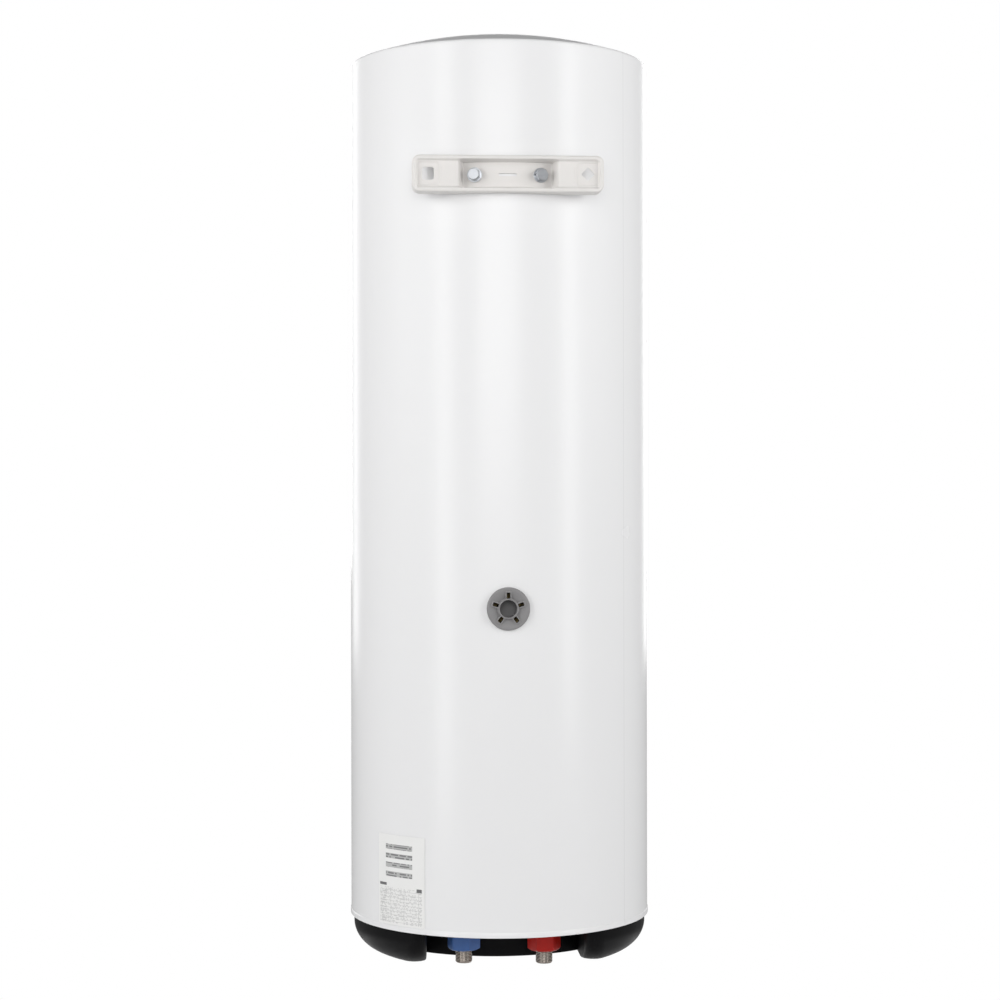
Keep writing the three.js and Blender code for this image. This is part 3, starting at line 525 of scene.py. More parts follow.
# %% Casing
SHEET = 0.8
HEM_HEIGHT = 6
CURL = 4
WALL_RINGS = 24
bracket_low, bracket_high = measure("wall_bracket")
bracket_middle = (bracket_low + bracket_high) / 2
port_middle = middle("foam_port_plug")
bolt_spot = middle("bracket_bolt_cold_side")
bolt_turn = math.atan2(bolt_spot.x, bolt_spot.y)
case_top = measure("outer_casing")[1].z - CURL
curl_centre = case_radius - CURL


def hem_outline(outer, foot):
    return [(outer - 0.4, foot), (outer, foot + 0.4), (outer, foot + HEM_HEIGHT - 0.5),
            (outer - 0.25, foot + HEM_HEIGHT),
            (outer - 0.8, foot + HEM_HEIGHT + 0.7)]


wall_heights = [case_foot + HEM_HEIGHT + 2 + (case_top - case_foot - HEM_HEIGHT - 3) * i / WALL_RINGS
                for i in range(WALL_RINGS + 1)]
casing_outline = [
    (case_radius - SHEET, case_foot),
    *hem_outline(case_radius + 0.8, case_foot),
    *[(case_radius, h) for h in wall_heights],
    *arc(curl_centre, case_top, CURL, CURL, 0, 90, 8),
    *arc(curl_centre, case_top, CURL - SHEET, CURL - SHEET, 90, 0, 5),
    *[(case_radius - SHEET, h) for h in reversed(wall_heights)],
]
casing = cut(
    turned(casing_outline, 240, "casing_enamel"),
    outwards(rod(10.5, case_radius - 20, case_radius + 10), bolt_turn, bracket_middle.z),
    outwards(rod(10.5, case_radius - 20, case_radius + 10), -bolt_turn, bracket_middle.z),
    outwards(rod(21, case_radius - 20, case_radius + 10), 0, port_middle.z),
)
piece("casing", casing, "casing_enamel", "outer_casing")

# %% [markdown]
# The lid is a shallow dish pressed from the same sheet, with a flange that drops inside the
# casing's curl. Its crown is part of a large sphere, found from the height between its rim and its
# top.

# %% Lid
DOME_STEPS = 22
FLANGE = 14
rim_height = case_top + CURL
rise = lid_top - rim_height
dome_radius = (curl_centre ** 2 + rise ** 2) / (2 * rise)


def dome_height(radius, sheet=0):
    return lid_top - dome_radius + math.sqrt((dome_radius - sheet) ** 2 - radius ** 2)


dome = [curl_centre * 0.997 * i / DOME_STEPS for i in range(DOME_STEPS + 1)]
lid_bend = CURL - SHEET - 0.3
lid_outline = [
    *[(r, dome_height(r)) for r in dome],
    *arc(curl_centre, case_top, lid_bend, lid_bend, 80, 0, 6),
    (curl_centre + lid_bend, case_top - FLANGE),
    (curl_centre + lid_bend - SHEET, case_top - FLANGE),
    *arc(curl_centre, case_top, lid_bend - SHEET, lid_bend - SHEET, 0, 80, 4),
    *[(r, dome_height(r, SHEET)) for r in reversed(dome)],
]
# The lid takes the casing's white set darker: painted shade.
piece("lid", turned(lid_outline, 192), "lid_enamel", "top_cover")

# %% [markdown]
# Slots in a plug and dots round a dial are one shape set round an axis. A small tree does that: it
# puts one copy on each point and turns it by its share of a full turn. Its only size is the count.

# %% Repeating round an axis
repeating, given = start_tree("repeat round the axis", Count=5)
places = node(repeating, "GeometryNodePoints", {"Count": given["Count"]})
index = node(repeating, "GeometryNodeInputIndex").outputs[0]
share = maths(repeating, "DIVIDE", maths(repeating, "MULTIPLY", index, math.tau), given["Count"])
turn = node(repeating, "FunctionNodeAxisAngleToRotation", {"Angle": share})
copies = node(repeating, "GeometryNodeInstanceOnPoints",
              {"Points": places.outputs[0], "Instance": given["Geometry"], "Rotation": turn.outputs[0]})
end_tree(repeating, copies.outputs[0], given)


def repeated(mesh, count):
    return tidied(grown(repeating, mesh, "zinc_steel", Count=count))

# %% [markdown]
# The bottom cover is one black moulding, a bowl with a wide bay at the back for the pipes. The
# bowl is turned, the bay is an outline drawn upwards, and the wall follows both because the
# inside is cut with the same two shapes, set in by the wall's thickness. The wing corners are
# rounded at every height, so the bay's outline changes level by level as the bowl draws in, and
# every other edge gets a small radius at the end.

# %% Bottom cover
DOTS = 10
DOT_CIRCLE = 36
DOT_RADIUS = 1.1
DOT_DEPTH = 0.35
WALL = 2.5
CORNER_OUT, CORNER_UP = 42.8, 36
BAY_HALF = 97
BAY_ARC = 160
BAY_ARC_Y = -88
BAY_CORNER = 14
cover_low, cover_high = measure("bottom_cover")
cover_radius = cover_high.x
cover_rim = cover_high.z
knob_spot = middle("temperature_knob")
grommet_spot = middle("cable_grommet")
pilot_spot = middle("pilot_lens")
screw_spots = [middle(f"cover_screw_{i + 1}") for i in range(4)]


def bay_plan(wall, bowl_radius):
    half, radius = BAY_HALF + wall, BAY_ARC - wall
    reach = math.degrees(math.asin(half / radius))
    side_x = BAY_HALF + BAY_CORNER
    side_y = math.sqrt((bowl_radius - BAY_CORNER) ** 2 - side_x ** 2)
    meet = math.degrees(math.atan2(side_y, side_x))
    small = BAY_CORNER - wall
    far = 1.3 * cover_radius
    out_x, out_y = far * math.cos(math.radians(meet)), far * math.sin(math.radians(meet))
    return [
        *arc(0, BAY_ARC_Y, radius, radius, 90 + reach, 90 - reach, 32),
        *arc(side_x, side_y, small, small, 180, meet, 8),
        (out_x, out_y), (0, 2 * cover_radius), (-out_x, out_y),
        *arc(-side_x, side_y, small, small, 180 - meet, 0, 8),
    ]


def bowl(wall, rim):
    across, high = CORNER_OUT - wall, CORNER_UP - wall
    corner = arc(cover_radius - CORNER_OUT, CORNER_UP, across, high, -90, 0, 20)
    return turned([(0, wall), *corner, (cover_radius - wall, rim), (0, rim)], 180)


def bay(wall):
    """The bay as a solid whose rounded corners follow the bowl, level by level."""
    levels = [(-10, cover_radius - CORNER_OUT)]
    levels += [(z, r) for r, z in
               arc(cover_radius - CORNER_OUT, CORNER_UP, CORNER_OUT, CORNER_UP, -90, 0, 12)]
    levels.append((80, cover_radius))
    plans = [[(x, y, z) for x, y in bay_plan(wall, r)] for z, r in levels]
    count = len(plans[0])
    made = bmesh.new()
    rings = [[made.verts.new(point) for point in plan] for plan in plans]
    for low, high in zip(rings, rings[1:]):
        for i in range(count):
            j = (i + 1) % count
            made.faces.new((low[i], low[j], high[j], high[i]))
    made.faces.new(rings[0])
    made.faces.new(rings[-1])
    bmesh.ops.triangulate(made, faces=made.faces[:])
    bmesh.ops.recalc_face_normals(made, faces=made.faces[:])
    mesh = bpy.data.meshes.new("bay")
    made.to_mesh(mesh)
    made.free()
    return mesh


outer_bowl = cut(bowl(0, cover_rim), bay(0))
inner_bowl = cut(bowl(WALL, cover_rim + 5), bay(WALL))
cover = cut(outer_bowl, inner_bowl)
posts = [moved(rod(7, 0.5, cover_rim - 0.2, 32), s.x, s.y) for s in screw_spots]
pads = [moved(rod(30 + WALL, 0.5, 18 + WALL, 72), 0, knob_spot.y),
        moved(rod(14, 0.5, 6), grommet_spot.x, grommet_spot.y)]
wells = [moved(rod(4.8, -1, 40, 32), s.x, s.y) for s in screw_spots]
wells += [moved(rod(2.5, 30, 70, 24), s.x, s.y) for s in screw_spots]
dish = turned([(0, -1), (31.5, -1), (30, 1.2), (28.6, 15), (26, 18), (0, 18)], 72)
ways_in = [
    moved(dish, 0, knob_spot.y),
    moved(rod(5, 0, 30), 0, knob_spot.y),
    moved(rod(11, -1, 2.8), grommet_spot.x, grommet_spot.y),
    moved(rod(7.4, -1, 10), grommet_spot.x, grommet_spot.y),
    moved(rod(5.5, -1, 10), pilot_spot.x, pilot_spot.y),
]
dots = moved(repeated(moved(rod(DOT_RADIUS, -1, DOT_DEPTH, 20), 0, DOT_CIRCLE), DOTS), 0, knob_spot.y)
cover = cut(join(cover, *posts, *pads), *wells, *ways_in, dots)
piece("bottom_cover_moulding", softened(cover, 0.7), "cover_plastic", "bottom_cover", crease=28)

# %% [markdown]
# The wall bracket is pressed from thick sheet: two flat arms that lie on the wall hooks, a saddle
# between them that follows the casing, a raised rim and a folded edge all round. Cutting that from
# blocks would leave hard steps that no press makes. So its rear face is a rule instead: how far
# back the sheet lies at a place, given how far inside the edge that place is. A grid fills the
# middle, rings follow the edge, and Solidify gives the sheet its thickness.

# %% Rear face of the bracket as a rule
BRACKET_SHEET = 2.0
RIM, RIM_STEP = 4.5, 3.0
ARM_DROP = 3.5
EDGE_BEND = 2.5
SADDLE_HALF, SADDLE_MOUTH = 54, 60
HOOK_X = 96
HOOK_PAD, PAD_CORNER, PAD_SUNK = 27, 4, 1.0
PLAN_CORNER = 9
wall_y = bracket_high.y
half_wide = bracket_high.x
half_high = (bracket_high.z - bracket_low.z) / 2
saddle_radius = case_radius + 0.3 + BRACKET_SHEET


def ramp(t):
    t = min(1, max(0, t))
    return t * t * (3 - 2 * t)


def field(x):
    across = abs(x)
    saddle = math.sqrt(saddle_radius ** 2 - min(across, SADDLE_HALF) ** 2)
    arm = wall_y - ARM_DROP
    return saddle + (arm - saddle) * ramp((across - SADDLE_HALF + 1) / (SADDLE_MOUTH - SADDLE_HALF + 2))


def rear_face(x, z, inset):
    straight = HOOK_PAD / 2 - PAD_CORNER
    out = math.hypot(max(abs(abs(x) - HOOK_X) - straight, 0), max(abs(z) - straight, 0))
    low = field(x) - PAD_SUNK * ramp((PAD_CORNER + 0.4 - out) / 0.9)
    lift = 1 - ramp((inset - RIM + 0.3) / RIM_STEP)
    return low + (wall_y - low) * lift


# %% Stations across the bracket
def spread(start, stop, step):
    count = max(1, round((stop - start) / step))
    return [start + (stop - start) * i / count for i in range(count)]


grid_x, grid_z = half_wide - PLAN_CORNER, half_high - PLAN_CORNER
half_stations = (spread(0, 51, 6) + spread(51, 63, 0.8) + spread(63, 82, 4) + spread(82, 85, 0.5) +
                 spread(85, grid_x, 3))
across = [-x for x in reversed(half_stations[1:] + [grid_x])] + half_stations + [grid_x]
upward = spread(-grid_z, grid_z, 2) + [grid_z]
insets = [PLAN_CORNER, 8.2, 7.6, 7.0, 6.4, 5.8, 5.2, 4.7, 4.2, 3.4, EDGE_BEND]

# %% Wall bracket
FOLD_STEPS = 4
round_edge = [((grid_x, z), 0) for z in upward] + [((grid_x, grid_z), a) for a in range(0, 91, 15)]
round_edge += ([((x, grid_z), 90) for x in reversed(across)] +
               [((-grid_x, grid_z), a) for a in range(90, 181, 15)])
round_edge += ([((-grid_x, z), 180) for z in reversed(upward)] +
               [((-grid_x, -grid_z), a) for a in range(180, 271, 15)])
round_edge += [((x, -grid_z), 270) for x in across] + [((grid_x, -grid_z), a) for a in range(270, 361, 15)]


def at_inset(base, degrees, inset):
    reach = PLAN_CORNER - inset
    return (base[0] + reach * math.cos(math.radians(degrees)),
            base[1] + reach * math.sin(math.radians(degrees)))


def bracket_rings():
    """Rings of points from the grid's border to the free edge of the fold."""
    for inset in insets:
        yield [(x, rear_face(x, z, inset), z) for x, z in (at_inset(b, a, inset) for b, a in round_edge)]
    for bend in range(18, 91, 18):
        inset = EDGE_BEND * (1 - math.sin(math.radians(bend)))
        y = wall_y - EDGE_BEND * (1 - math.cos(math.radians(bend)))
        yield [(x, y, z) for x, z in (at_inset(b, a, inset) for b, a in round_edge)]
    for step in range(1, FOLD_STEPS + 1):
        ring = []
        for x, z in (at_inset(b, a, 0) for b, a in round_edge):
            on_case = math.sqrt(max(0, (case_radius + 0.6) ** 2 - x ** 2))
            foot = max(bracket_low.y, on_case)
            top = wall_y - EDGE_BEND
            ring.append((x, top + (foot - top) * step / FOLD_STEPS, z))
        yield ring


def pressed_sheet():
    work = bmesh.new()
    rows = [[work.verts.new((x, rear_face(x, z, PLAN_CORNER), z)) for x in across] for z in upward]
    for low, high in zip(rows, rows[1:]):
        for i in range(len(across) - 1):
            work.faces.new((low[i], low[i + 1], high[i + 1], high[i]))
    rings = [[work.verts.new(p) for p in ring] for ring in bracket_rings()]
    for inner, outer in zip(rings, rings[1:]):
        for i in range(len(inner)):
            j = (i + 1) % len(inner)
            work.faces.new((inner[i], inner[j], outer[j], outer[i]))
    bmesh.ops.remove_doubles(work, verts=work.verts, dist=0.02)
    bmesh.ops.recalc_face_normals(work, faces=work.faces)
    if sum(face.normal.y for face in work.faces) < 0:
        bmesh.ops.reverse_faces(work, faces=work.faces)
    mesh = bpy.data.meshes.new("pressed sheet")
    work.to_mesh(mesh)
    work.free()
    return mesh


def thickened(mesh, thickness):
    def prepare(holder):
        modifier = holder.modifiers.new("thickness", "SOLIDIFY")
        modifier.thickness = thickness
        modifier.offset = -1
        modifier.use_even_offset = True
        modifier.use_quality_normals = True
    return tidied(evaluated(mesh, prepare))


def through_back(points, x=0, turn=0):
    """A cutter with this outline, seen from behind, through the bracket."""
    tool = prism(points, wall_y - 34, wall_y + 6)
    tool.transform(Matrix.Rotation(math.radians(turn), 4, "Z"))
    return moved(outwards(tool, 0, 0), x)


bracket = cut(
    thickened(pressed_sheet(), BRACKET_SHEET),
    through_back(rounded_rectangle(14, 15.5, 3), HOOK_X),
    through_back(rounded_rectangle(11.6, 11.6, 1.5), -HOOK_X, 45),
    through_back(rounded_rectangle(22, 3.5, 1.7)),
    outwards(rod(4.6, 180, 220), bolt_turn, 0),
    outwards(rod(4.6, 180, 220), -bolt_turn, 0),
)
piece("pressed_wall_bracket", moved(bracket, 0, 0, bracket_middle.z), "bracket_enamel", "wall_bracket",
      crease=40)

# %% [markdown]
# Hexagon screws repeat all over a heater: two hold the bracket and five the heater flange. One
# tree makes them on bare points that know which way each screw faces. The head is a six-sided
# prism cut by a blunt cone, which gives the curved chamfers of a real head, and a seeded turn
# leaves each one as a spanner would.

# %% Screws on points
def spots(places):
    """Bare points, each with the direction that its screw faces."""
    mesh = bpy.data.meshes.new("spots")
    mesh.from_pydata([place for place, _ in places], [], [])
    facing = mesh.attributes.new("facing", "FLOAT_VECTOR", "POINT")
    for i, (_, direction) in enumerate(places):
        facing.data[i].vector = direction
    return mesh


def set_out(tree, given, fastener, seed):
    """One fastener on every point, facing its way, with a seeded turn about its own axis."""
    facing = node(tree, "GeometryNodeInputNamedAttribute", {"Name": "facing"}, data_type="FLOAT_VECTOR")
    aligned = node(tree, "FunctionNodeAlignRotationToVector", {"Vector": facing.outputs[0]}, axis="Z")
    chance = node(tree, "FunctionNodeRandomValue", {2: 0.0, 3: math.tau, 8: seed}, data_type="FLOAT")
    turn = node(tree, "FunctionNodeAxisAngleToRotation", {"Angle": chance.outputs[1]})
    both = node(tree, "FunctionNodeRotateRotation",
                {"Rotation": aligned.outputs[0], "Rotate By": turn.outputs[0]},
                rotation_space="LOCAL")
    return node(tree, "GeometryNodeInstanceOnPoints",
                {"Points": given["Geometry"], "Instance": fastener, "Rotation": both.outputs[0]}).outputs[0]


CHAMFER_SLOPE = 1 / math.tan(math.radians(30))
hexagons, given = start_tree("hexagon screws", Flats=13.0, Head=5.3, Shank=3.9, Length=12.0, Seed=3)
corner = maths(hexagons, "DIVIDE", given["Flats"], math.sqrt(3))
crown = maths(hexagons, "MULTIPLY", given["Flats"], 0.47)
skirt = maths(hexagons, "MULTIPLY_ADD", given["Head"], CHAMFER_SLOPE, crown)
blank = node(hexagons, "GeometryNodeMeshCylinder", {"Vertices": 6, "Radius": corner, "Depth": given["Head"]})
raised = node(hexagons, "ShaderNodeCombineXYZ",
              {"Z": maths(hexagons, "MULTIPLY", given["Head"], 0.5)})
seated = node(hexagons, "GeometryNodeTransform",
              {"Geometry": blank.outputs[0], "Translation": raised.outputs[0]})
cone = node(hexagons, "GeometryNodeMeshCone",
            {"Vertices": 60, "Radius Top": crown, "Radius Bottom": skirt, "Depth": given["Head"]})
head = node(hexagons, "GeometryNodeMeshBoolean", {"Mesh 2": seated.outputs[0]}, operation="INTERSECT",
            solver="EXACT")
hexagons.links.new(cone.outputs[0], head.inputs["Mesh 2"])
shank = node(hexagons, "GeometryNodeMeshCylinder",
             {"Vertices": 24, "Radius": given["Shank"], "Depth": given["Length"]})
sink = node(hexagons, "ShaderNodeCombineXYZ", {"Z": maths(hexagons, "MULTIPLY", given["Length"], -0.48)})
sunk = node(hexagons, "GeometryNodeTransform", {"Geometry": shank.outputs[0], "Translation": sink.outputs[0]})
screw = node(hexagons, "GeometryNodeJoinGeometry", {0: head.outputs[0]})
hexagons.links.new(sunk.outputs[0], screw.inputs[0])
end_tree(hexagons, set_out(hexagons, given, screw.outputs[0], given["Seed"]), given)

# %% [markdown]
# A spring washer is a short coil of square wire, cut through and a little sprung. The Spiral node
# is exactly that: almost one turn, a small climb, and a square section swept along it.

# %% Spring washers as a geometry tree
coils, given = start_tree("spring washers", Radius=5.8, Wire=3.1, Thickness=1.7, Climb=0.25, Seed=5)
coil = node(coils, "GeometryNodeCurveSpiral", {
    "Resolution": 48, "Rotations": 0.95, "Start Radius": given["Radius"], "End Radius": given["Radius"],
    "Height": given["Climb"]})
level = node(coils, "GeometryNodeSetCurveNormal", {"Curve": coil.outputs[0]}, mode="Z_UP")
wire = node(coils, "GeometryNodeCurvePrimitiveQuadrilateral",
            {"Width": given["Wire"], "Height": given["Thickness"]})
wound = node(coils, "GeometryNodeCurveToMesh",
             {"Curve": level.outputs[0], "Profile Curve": wire.outputs[0], "Fill Caps": True})
end_tree(coils, set_out(coils, given, wound.outputs[0], given["Seed"]), given)

# %% Bracket screws and washers
WASHER, SPRING, PLAY = 1.6, 2.0, 0.3
washer_seat = case_radius + BRACKET_SHEET + 2 * PLAY
spring_seat = washer_seat + WASHER + PLAY
head_seat = spring_seat + SPRING + PLAY
ways = [Vector((math.sin(t), math.cos(t), 0)) for t in (bolt_turn, -bolt_turn)]
sides = ("_cold_side", "_hot_side")


def on_bracket(radius):
    return spots([(way * radius + Vector((0, 0, bracket_middle.z)), way) for way in ways])


heads = grown(hexagons, on_bracket(head_seat), "zinc_steel", Length=24.0)
piece("bracket_screws", tidied(heads), "zinc_steel", *["bracket_bolt" + s for s in sides], crease=28)
springs = grown(coils, on_bracket(spring_seat + 0.85), "zinc_steel")
piece("bracket_spring_washers", tidied(springs), "zinc_steel", *["bracket_spring_washer" + s for s in sides])
for way, side in zip((1, -1), sides):
    flat = turned([(4.3, 0.2), (4.5, 0), (8.8, 0), (9, 0.2), (9, 1.35), (8.7, WASHER), (4.5, WASHER),
                   (4.3, 1.4)], 64)
    flat = outwards(moved(flat, 0, 0, washer_seat), way * bolt_turn, bracket_middle.z)
    piece("flat_washer" + side, flat, "zinc_steel", "bracket_flat_washer" + side)

# %% [markdown]
# The grey plug closes the hole through which foam was blown into the jacket. It has a dished
# flange, a raised rim round its bore and five slots in raised frames. One slot and one frame are
# made and set round the axis five times by the repeating tree, with the first slot at the top.

# %% Foam plug
plug_foot = measure("foam_port_plug")[0].y
PLUG_RADIUS = 26
plug_face = case_radius + 3.5
plug = turned([
    (0, plug_foot), (12.2, plug_foot), (12.2, 186), (19.9, 186), (19.9, 184), (20.7, 184), (20.7, 189),
    (PLUG_RADIUS - 0.3, 189), (PLUG_RADIUS, 189.3), (PLUG_RADIUS, plug_face - 1.2),
    (PLUG_RADIUS - 0.3, plug_face - 0.6), (PLUG_RADIUS - 1, plug_face - 0.2),
    (23.5, plug_face - 0.1), (20, plug_face - 0.7), (16, plug_face - 1.9), (13.4, plug_face - 2.6),
    (12.7, plug_face - 2.3), (12.4, plug_face), (12.1, plug_face + 0.6), (11.5, plug_face + 0.8),
    (10.9, plug_face + 0.6), (10.5, plug_face), (10.5, plug_foot + 2), (0, plug_foot + 2),
], 96)
frames = repeated(moved(prism(rounded_rectangle(7.4, 10.6, 1.6), 188.5, plug_face + 0.25), 0, -16.6), 5)
slots = repeated(moved(prism(rounded_rectangle(4.6, 7.2, 0.9), 183, 200), 0, -16), 5)
round_case = outwards(rod(case_radius + 0.3, -60, 60, 240), 0, 0)
round_case.transform(Matrix.Rotation(math.radians(90), 4, "X"))
flange_zone = cut(rod(40, 150, 210), rod(20.9, 140, 220))
hollow = combined(flange_zone, [round_case], "INTERSECT")
plug = cut(join(plug, softened(frames, 0.35)), slots, hollow)
piece("foam_plug", outwards(plug, 0, port_middle.z), "port_plastic", "foam_port_plug", crease=30)

# %% [markdown]
# A rating label is thin film on the casing. Its print is generic here: four strips of bars, a
# ruled table with faint rows, and small marks, none of them a word. The sheet is a curved grid
# with its own UV map, so the print is drawn by the finish from the place on the label.

# %% Print of the label
def inside(tree, value, low, high):
    above = maths(tree, "GREATER_THAN", value, low)
    return maths(tree, "MULTIPLY", above, maths(tree, "LESS_THAN", value, high))


def patch_of(tree, across, down, box):
    return maths(tree, "MULTIPLY", inside(tree, across, *box[:2]), inside(tree, down, *box[2:]))


def printed_label():
    made = surface("label film", (0.84, 0.84, 0.83), 0.42, 2.0, 0.01, cloud=(30, 0.01))
    tree = made.node_tree
    shader = tree.nodes["Principled BSDF"]
    flat = node(tree, "ShaderNodeSeparateXYZ",
                {0: node(tree, "ShaderNodeUVMap", uv_map="label").outputs[0]}).outputs
    across = flat["X"]
    down = maths(tree, "SUBTRACT", 1.0, flat["Y"])
    uv = node(tree, "ShaderNodeCombineXYZ", {"X": across, "Y": down}).outputs[0]

    def marks(columns, rows, share):
        """Small marks in rows, as dense print looks from a distance."""
        cell = node(tree, "ShaderNodeMapping", {"Vector": uv, "Scale": (columns, rows, 1)}).outputs[0]
        split = node(tree, "ShaderNodeSeparateXYZ", {0: cell}).outputs
        floor = node(tree, "ShaderNodeVectorMath", {0: cell}, operation="FLOOR").outputs[0]
        chance = node(tree, "ShaderNodeTexWhiteNoise", {"Vector": floor}).outputs[0]
        ink = maths(tree, "LESS_THAN", chance, share)
        row = inside(tree, maths(tree, "FRACT", split["Y"]), 0.22, 0.78)
        return maths(tree, "MULTIPLY", ink, row)

    table = [0.035, 0.95, 0.585, 0.98]
    strips = [patch_of(tree, across, down, (0.18, 0.76, v, v + 0.055)) for v in (0.105, 0.206, 0.307, 0.408)]
    total = strips[0]
    for strip in strips[1:]:
        total = maths(tree, "MAXIMUM", total, strip)
    total = maths(tree, "MULTIPLY", total,
                  maths(tree, "MAXIMUM", maths(tree, "MULTIPLY", marks(30, 34, 0.7), 0.8), 0.45))
    solids = [(0.03, 0.2, 0.54, 0.57), (0.845, 0.945, 0.57, 0.61)]
    for box in solids:
        total = maths(tree, "MAXIMUM", total,
                      maths(tree, "MULTIPLY", patch_of(tree, across, down, box), 0.85))
    rules = maths(tree, "LESS_THAN", maths(tree, "FRACT", maths(tree, "MULTIPLY", down, 26.0)), 0.12)
    columns = maths(tree, "LESS_THAN", maths(tree, "FRACT", maths(tree, "MULTIPLY", across, 3.4)), 0.03)
    rows = maths(tree, "MULTIPLY", marks(46, 52, 0.42), 0.26)
    body = maths(tree, "MAXIMUM", rows, maths(tree, "MULTIPLY", maths(tree, "MAXIMUM", rules, columns), 0.3))
    total = maths(tree, "MAXIMUM", total, maths(tree, "MULTIPLY", body, patch_of(tree, across, down, table)))
    side = maths(tree, "MULTIPLY", patch_of(tree, across, down, (0.04, 0.20, 0.62, 0.97)), marks(40, 40, 0.7))
    total = maths(tree, "MAXIMUM", total, maths(tree, "MULTIPLY", side, 0.3))
    plain = shader.inputs["Base Color"].links[0].from_socket
    ink = node(tree, "ShaderNodeMix", {"Factor": total, "A": plain, "B": (0.035, 0.035, 0.04, 1)},
               data_type="RGBA")
    tree.links.new(ink.outputs["Result"], shader.inputs["Base Color"])
    return made


finishes["label_paper"] = printed_label()

# %% Label film
LABEL_FILM = 0.25
LABEL_COLUMNS, LABEL_ROWS = 48, 8
label_low, label_high = measure("rating_label")
label_from = math.atan2(label_low.x, label_high.y)
label_to = math.atan2(label_high.x, label_low.y)


def label_film():
    radius = case_radius + 0.3 + LABEL_FILM
    verts, faces = [], []
    for j in range(LABEL_ROWS + 1):
        for i in range(LABEL_COLUMNS + 1):
            turn = label_to + (label_from - label_to) * i / LABEL_COLUMNS
            z = label_low.z + (label_high.z - label_low.z) * j / LABEL_ROWS
            verts.append((radius * math.sin(turn), radius * math.cos(turn), z))
    for j in range(LABEL_ROWS):
        for i in range(LABEL_COLUMNS):
            a = j * (LABEL_COLUMNS + 1) + i
            faces.append((a, a + 1, a + LABEL_COLUMNS + 2, a + LABEL_COLUMNS + 1))
    mesh = bpy.data.meshes.new("label film")
    mesh.from_pydata(verts, [], faces)
    chart = mesh.uv_layers.new(name="label")
    for loop in mesh.loops:
        row, column = divmod(loop.vertex_index, LABEL_COLUMNS + 1)
        chart.data[loop.index].uv = (column / LABEL_COLUMNS, row / LABEL_ROWS)
    return thickened(mesh, LABEL_FILM)


piece("label", label_film(), "label_paper", "rating_label")

# %% [markdown]
# The two connections are steel nipples with a G1/2 pipe thread. A pipe thread has rounded crests
# and roots, so it is a wave that climbs once per turn. The same tree, with more waves and no
# climb, flutes the knob: it pushes the points of a turned blank in towards the axis where they
# lie outside a chosen radius and between two heights.

# %% Waves round a turned blank
waving, given = start_tree("waves round a blank", Count=1, Climb=0.0, Depth=1.0, Beyond=10.0, Foot=0.0,
                           Top=10.0)
position = node(waving, "GeometryNodeInputPosition").outputs[0]
parts = node(waving, "ShaderNodeSeparateXYZ", {0: position}).outputs
flat = node(waving, "ShaderNodeVectorMath", {0: position, 1: (1, 1, 0)}, operation="MULTIPLY").outputs[0]
reach = node(waving, "ShaderNodeVectorMath", {0: flat}, operation="LENGTH").outputs["Value"]
heading = node(waving, "ShaderNodeVectorMath", {0: flat}, operation="NORMALIZE").outputs[0]
angle = maths(waving, "ARCTAN2", parts["Y"], parts["X"])
phase = maths(waving, "MULTIPLY_ADD", angle, given["Count"],
              maths(waving, "MULTIPLY", maths(waving, "MULTIPLY", parts["Z"], given["Climb"]), math.tau))
inward = maths(waving, "MULTIPLY", maths(waving, "MULTIPLY_ADD", maths(waving, "COSINE", phase), 0.5, -0.5),
               given["Depth"])
chosen = maths(waving, "MULTIPLY", maths(waving, "GREATER_THAN", reach, given["Beyond"]),
               maths(waving, "MULTIPLY", maths(waving, "GREATER_THAN", parts["Z"], given["Foot"]),
                     maths(waving, "LESS_THAN", parts["Z"], given["Top"])))
push = node(waving, "ShaderNodeVectorMath", {0: heading, "Scale": inward}, operation="SCALE").outputs[0]
waved = node(waving, "GeometryNodeSetPosition",
             {"Geometry": given["Geometry"], "Selection": chosen, "Offset": push})
end_tree(waving, waved.outputs[0], given)

# %% Nipples with their pipe threads
PITCH = 25.4 / 14
THREAD_DEPTH = 0.3
THREAD_ROWS_PER_TURN = 6
BORE = 7.9
RUN_OUT = 34


def nipple(name):
    low, high = measure(name)
    radius, foot, top = (high.x - low.x) / 2, low.z, high.z
    rows = round(RUN_OUT / PITCH * THREAD_ROWS_PER_TURN)
    wall = [(radius, foot + 1.5 + RUN_OUT * i / rows) for i in range(rows + 1)]
    blank = turned([(BORE, foot + 0.4), (BORE + 0.4, foot), (radius - 1.3, foot), (radius - 0.9, foot + 0.3),
                    *wall,
                    (radius, top), (BORE, top)], 64)
    made = grown(waving, blank, "pipe_steel", Count=1, Climb=1 / PITCH, Depth=THREAD_DEPTH,
                 Beyond=radius - 0.2,
                 Foot=foot + 1, Top=foot + RUN_OUT)
    spot = (low + high) / 2
    return moved(tidied(made), spot.x, spot.y)


piece("cold_nipple", nipple("cold_inlet_nipple"), "pipe_steel", "cold_inlet_nipple", crease=60)
piece("hot_nipple", nipple("hot_outlet_nipple"), "pipe_steel", "hot_outlet_nipple", crease=60)

# %% [markdown]
# The coloured collars are moulded hexagons, blue for cold and red for hot, with their lower
# corners turned off so that a fitting can be screwed up to them. A cone takes the corners off, as
# on a screw head, and every edge is softened a little.

# %% Coloured collars
COLLAR_FLATS = 36
COLLAR_SLOPE = 1.9


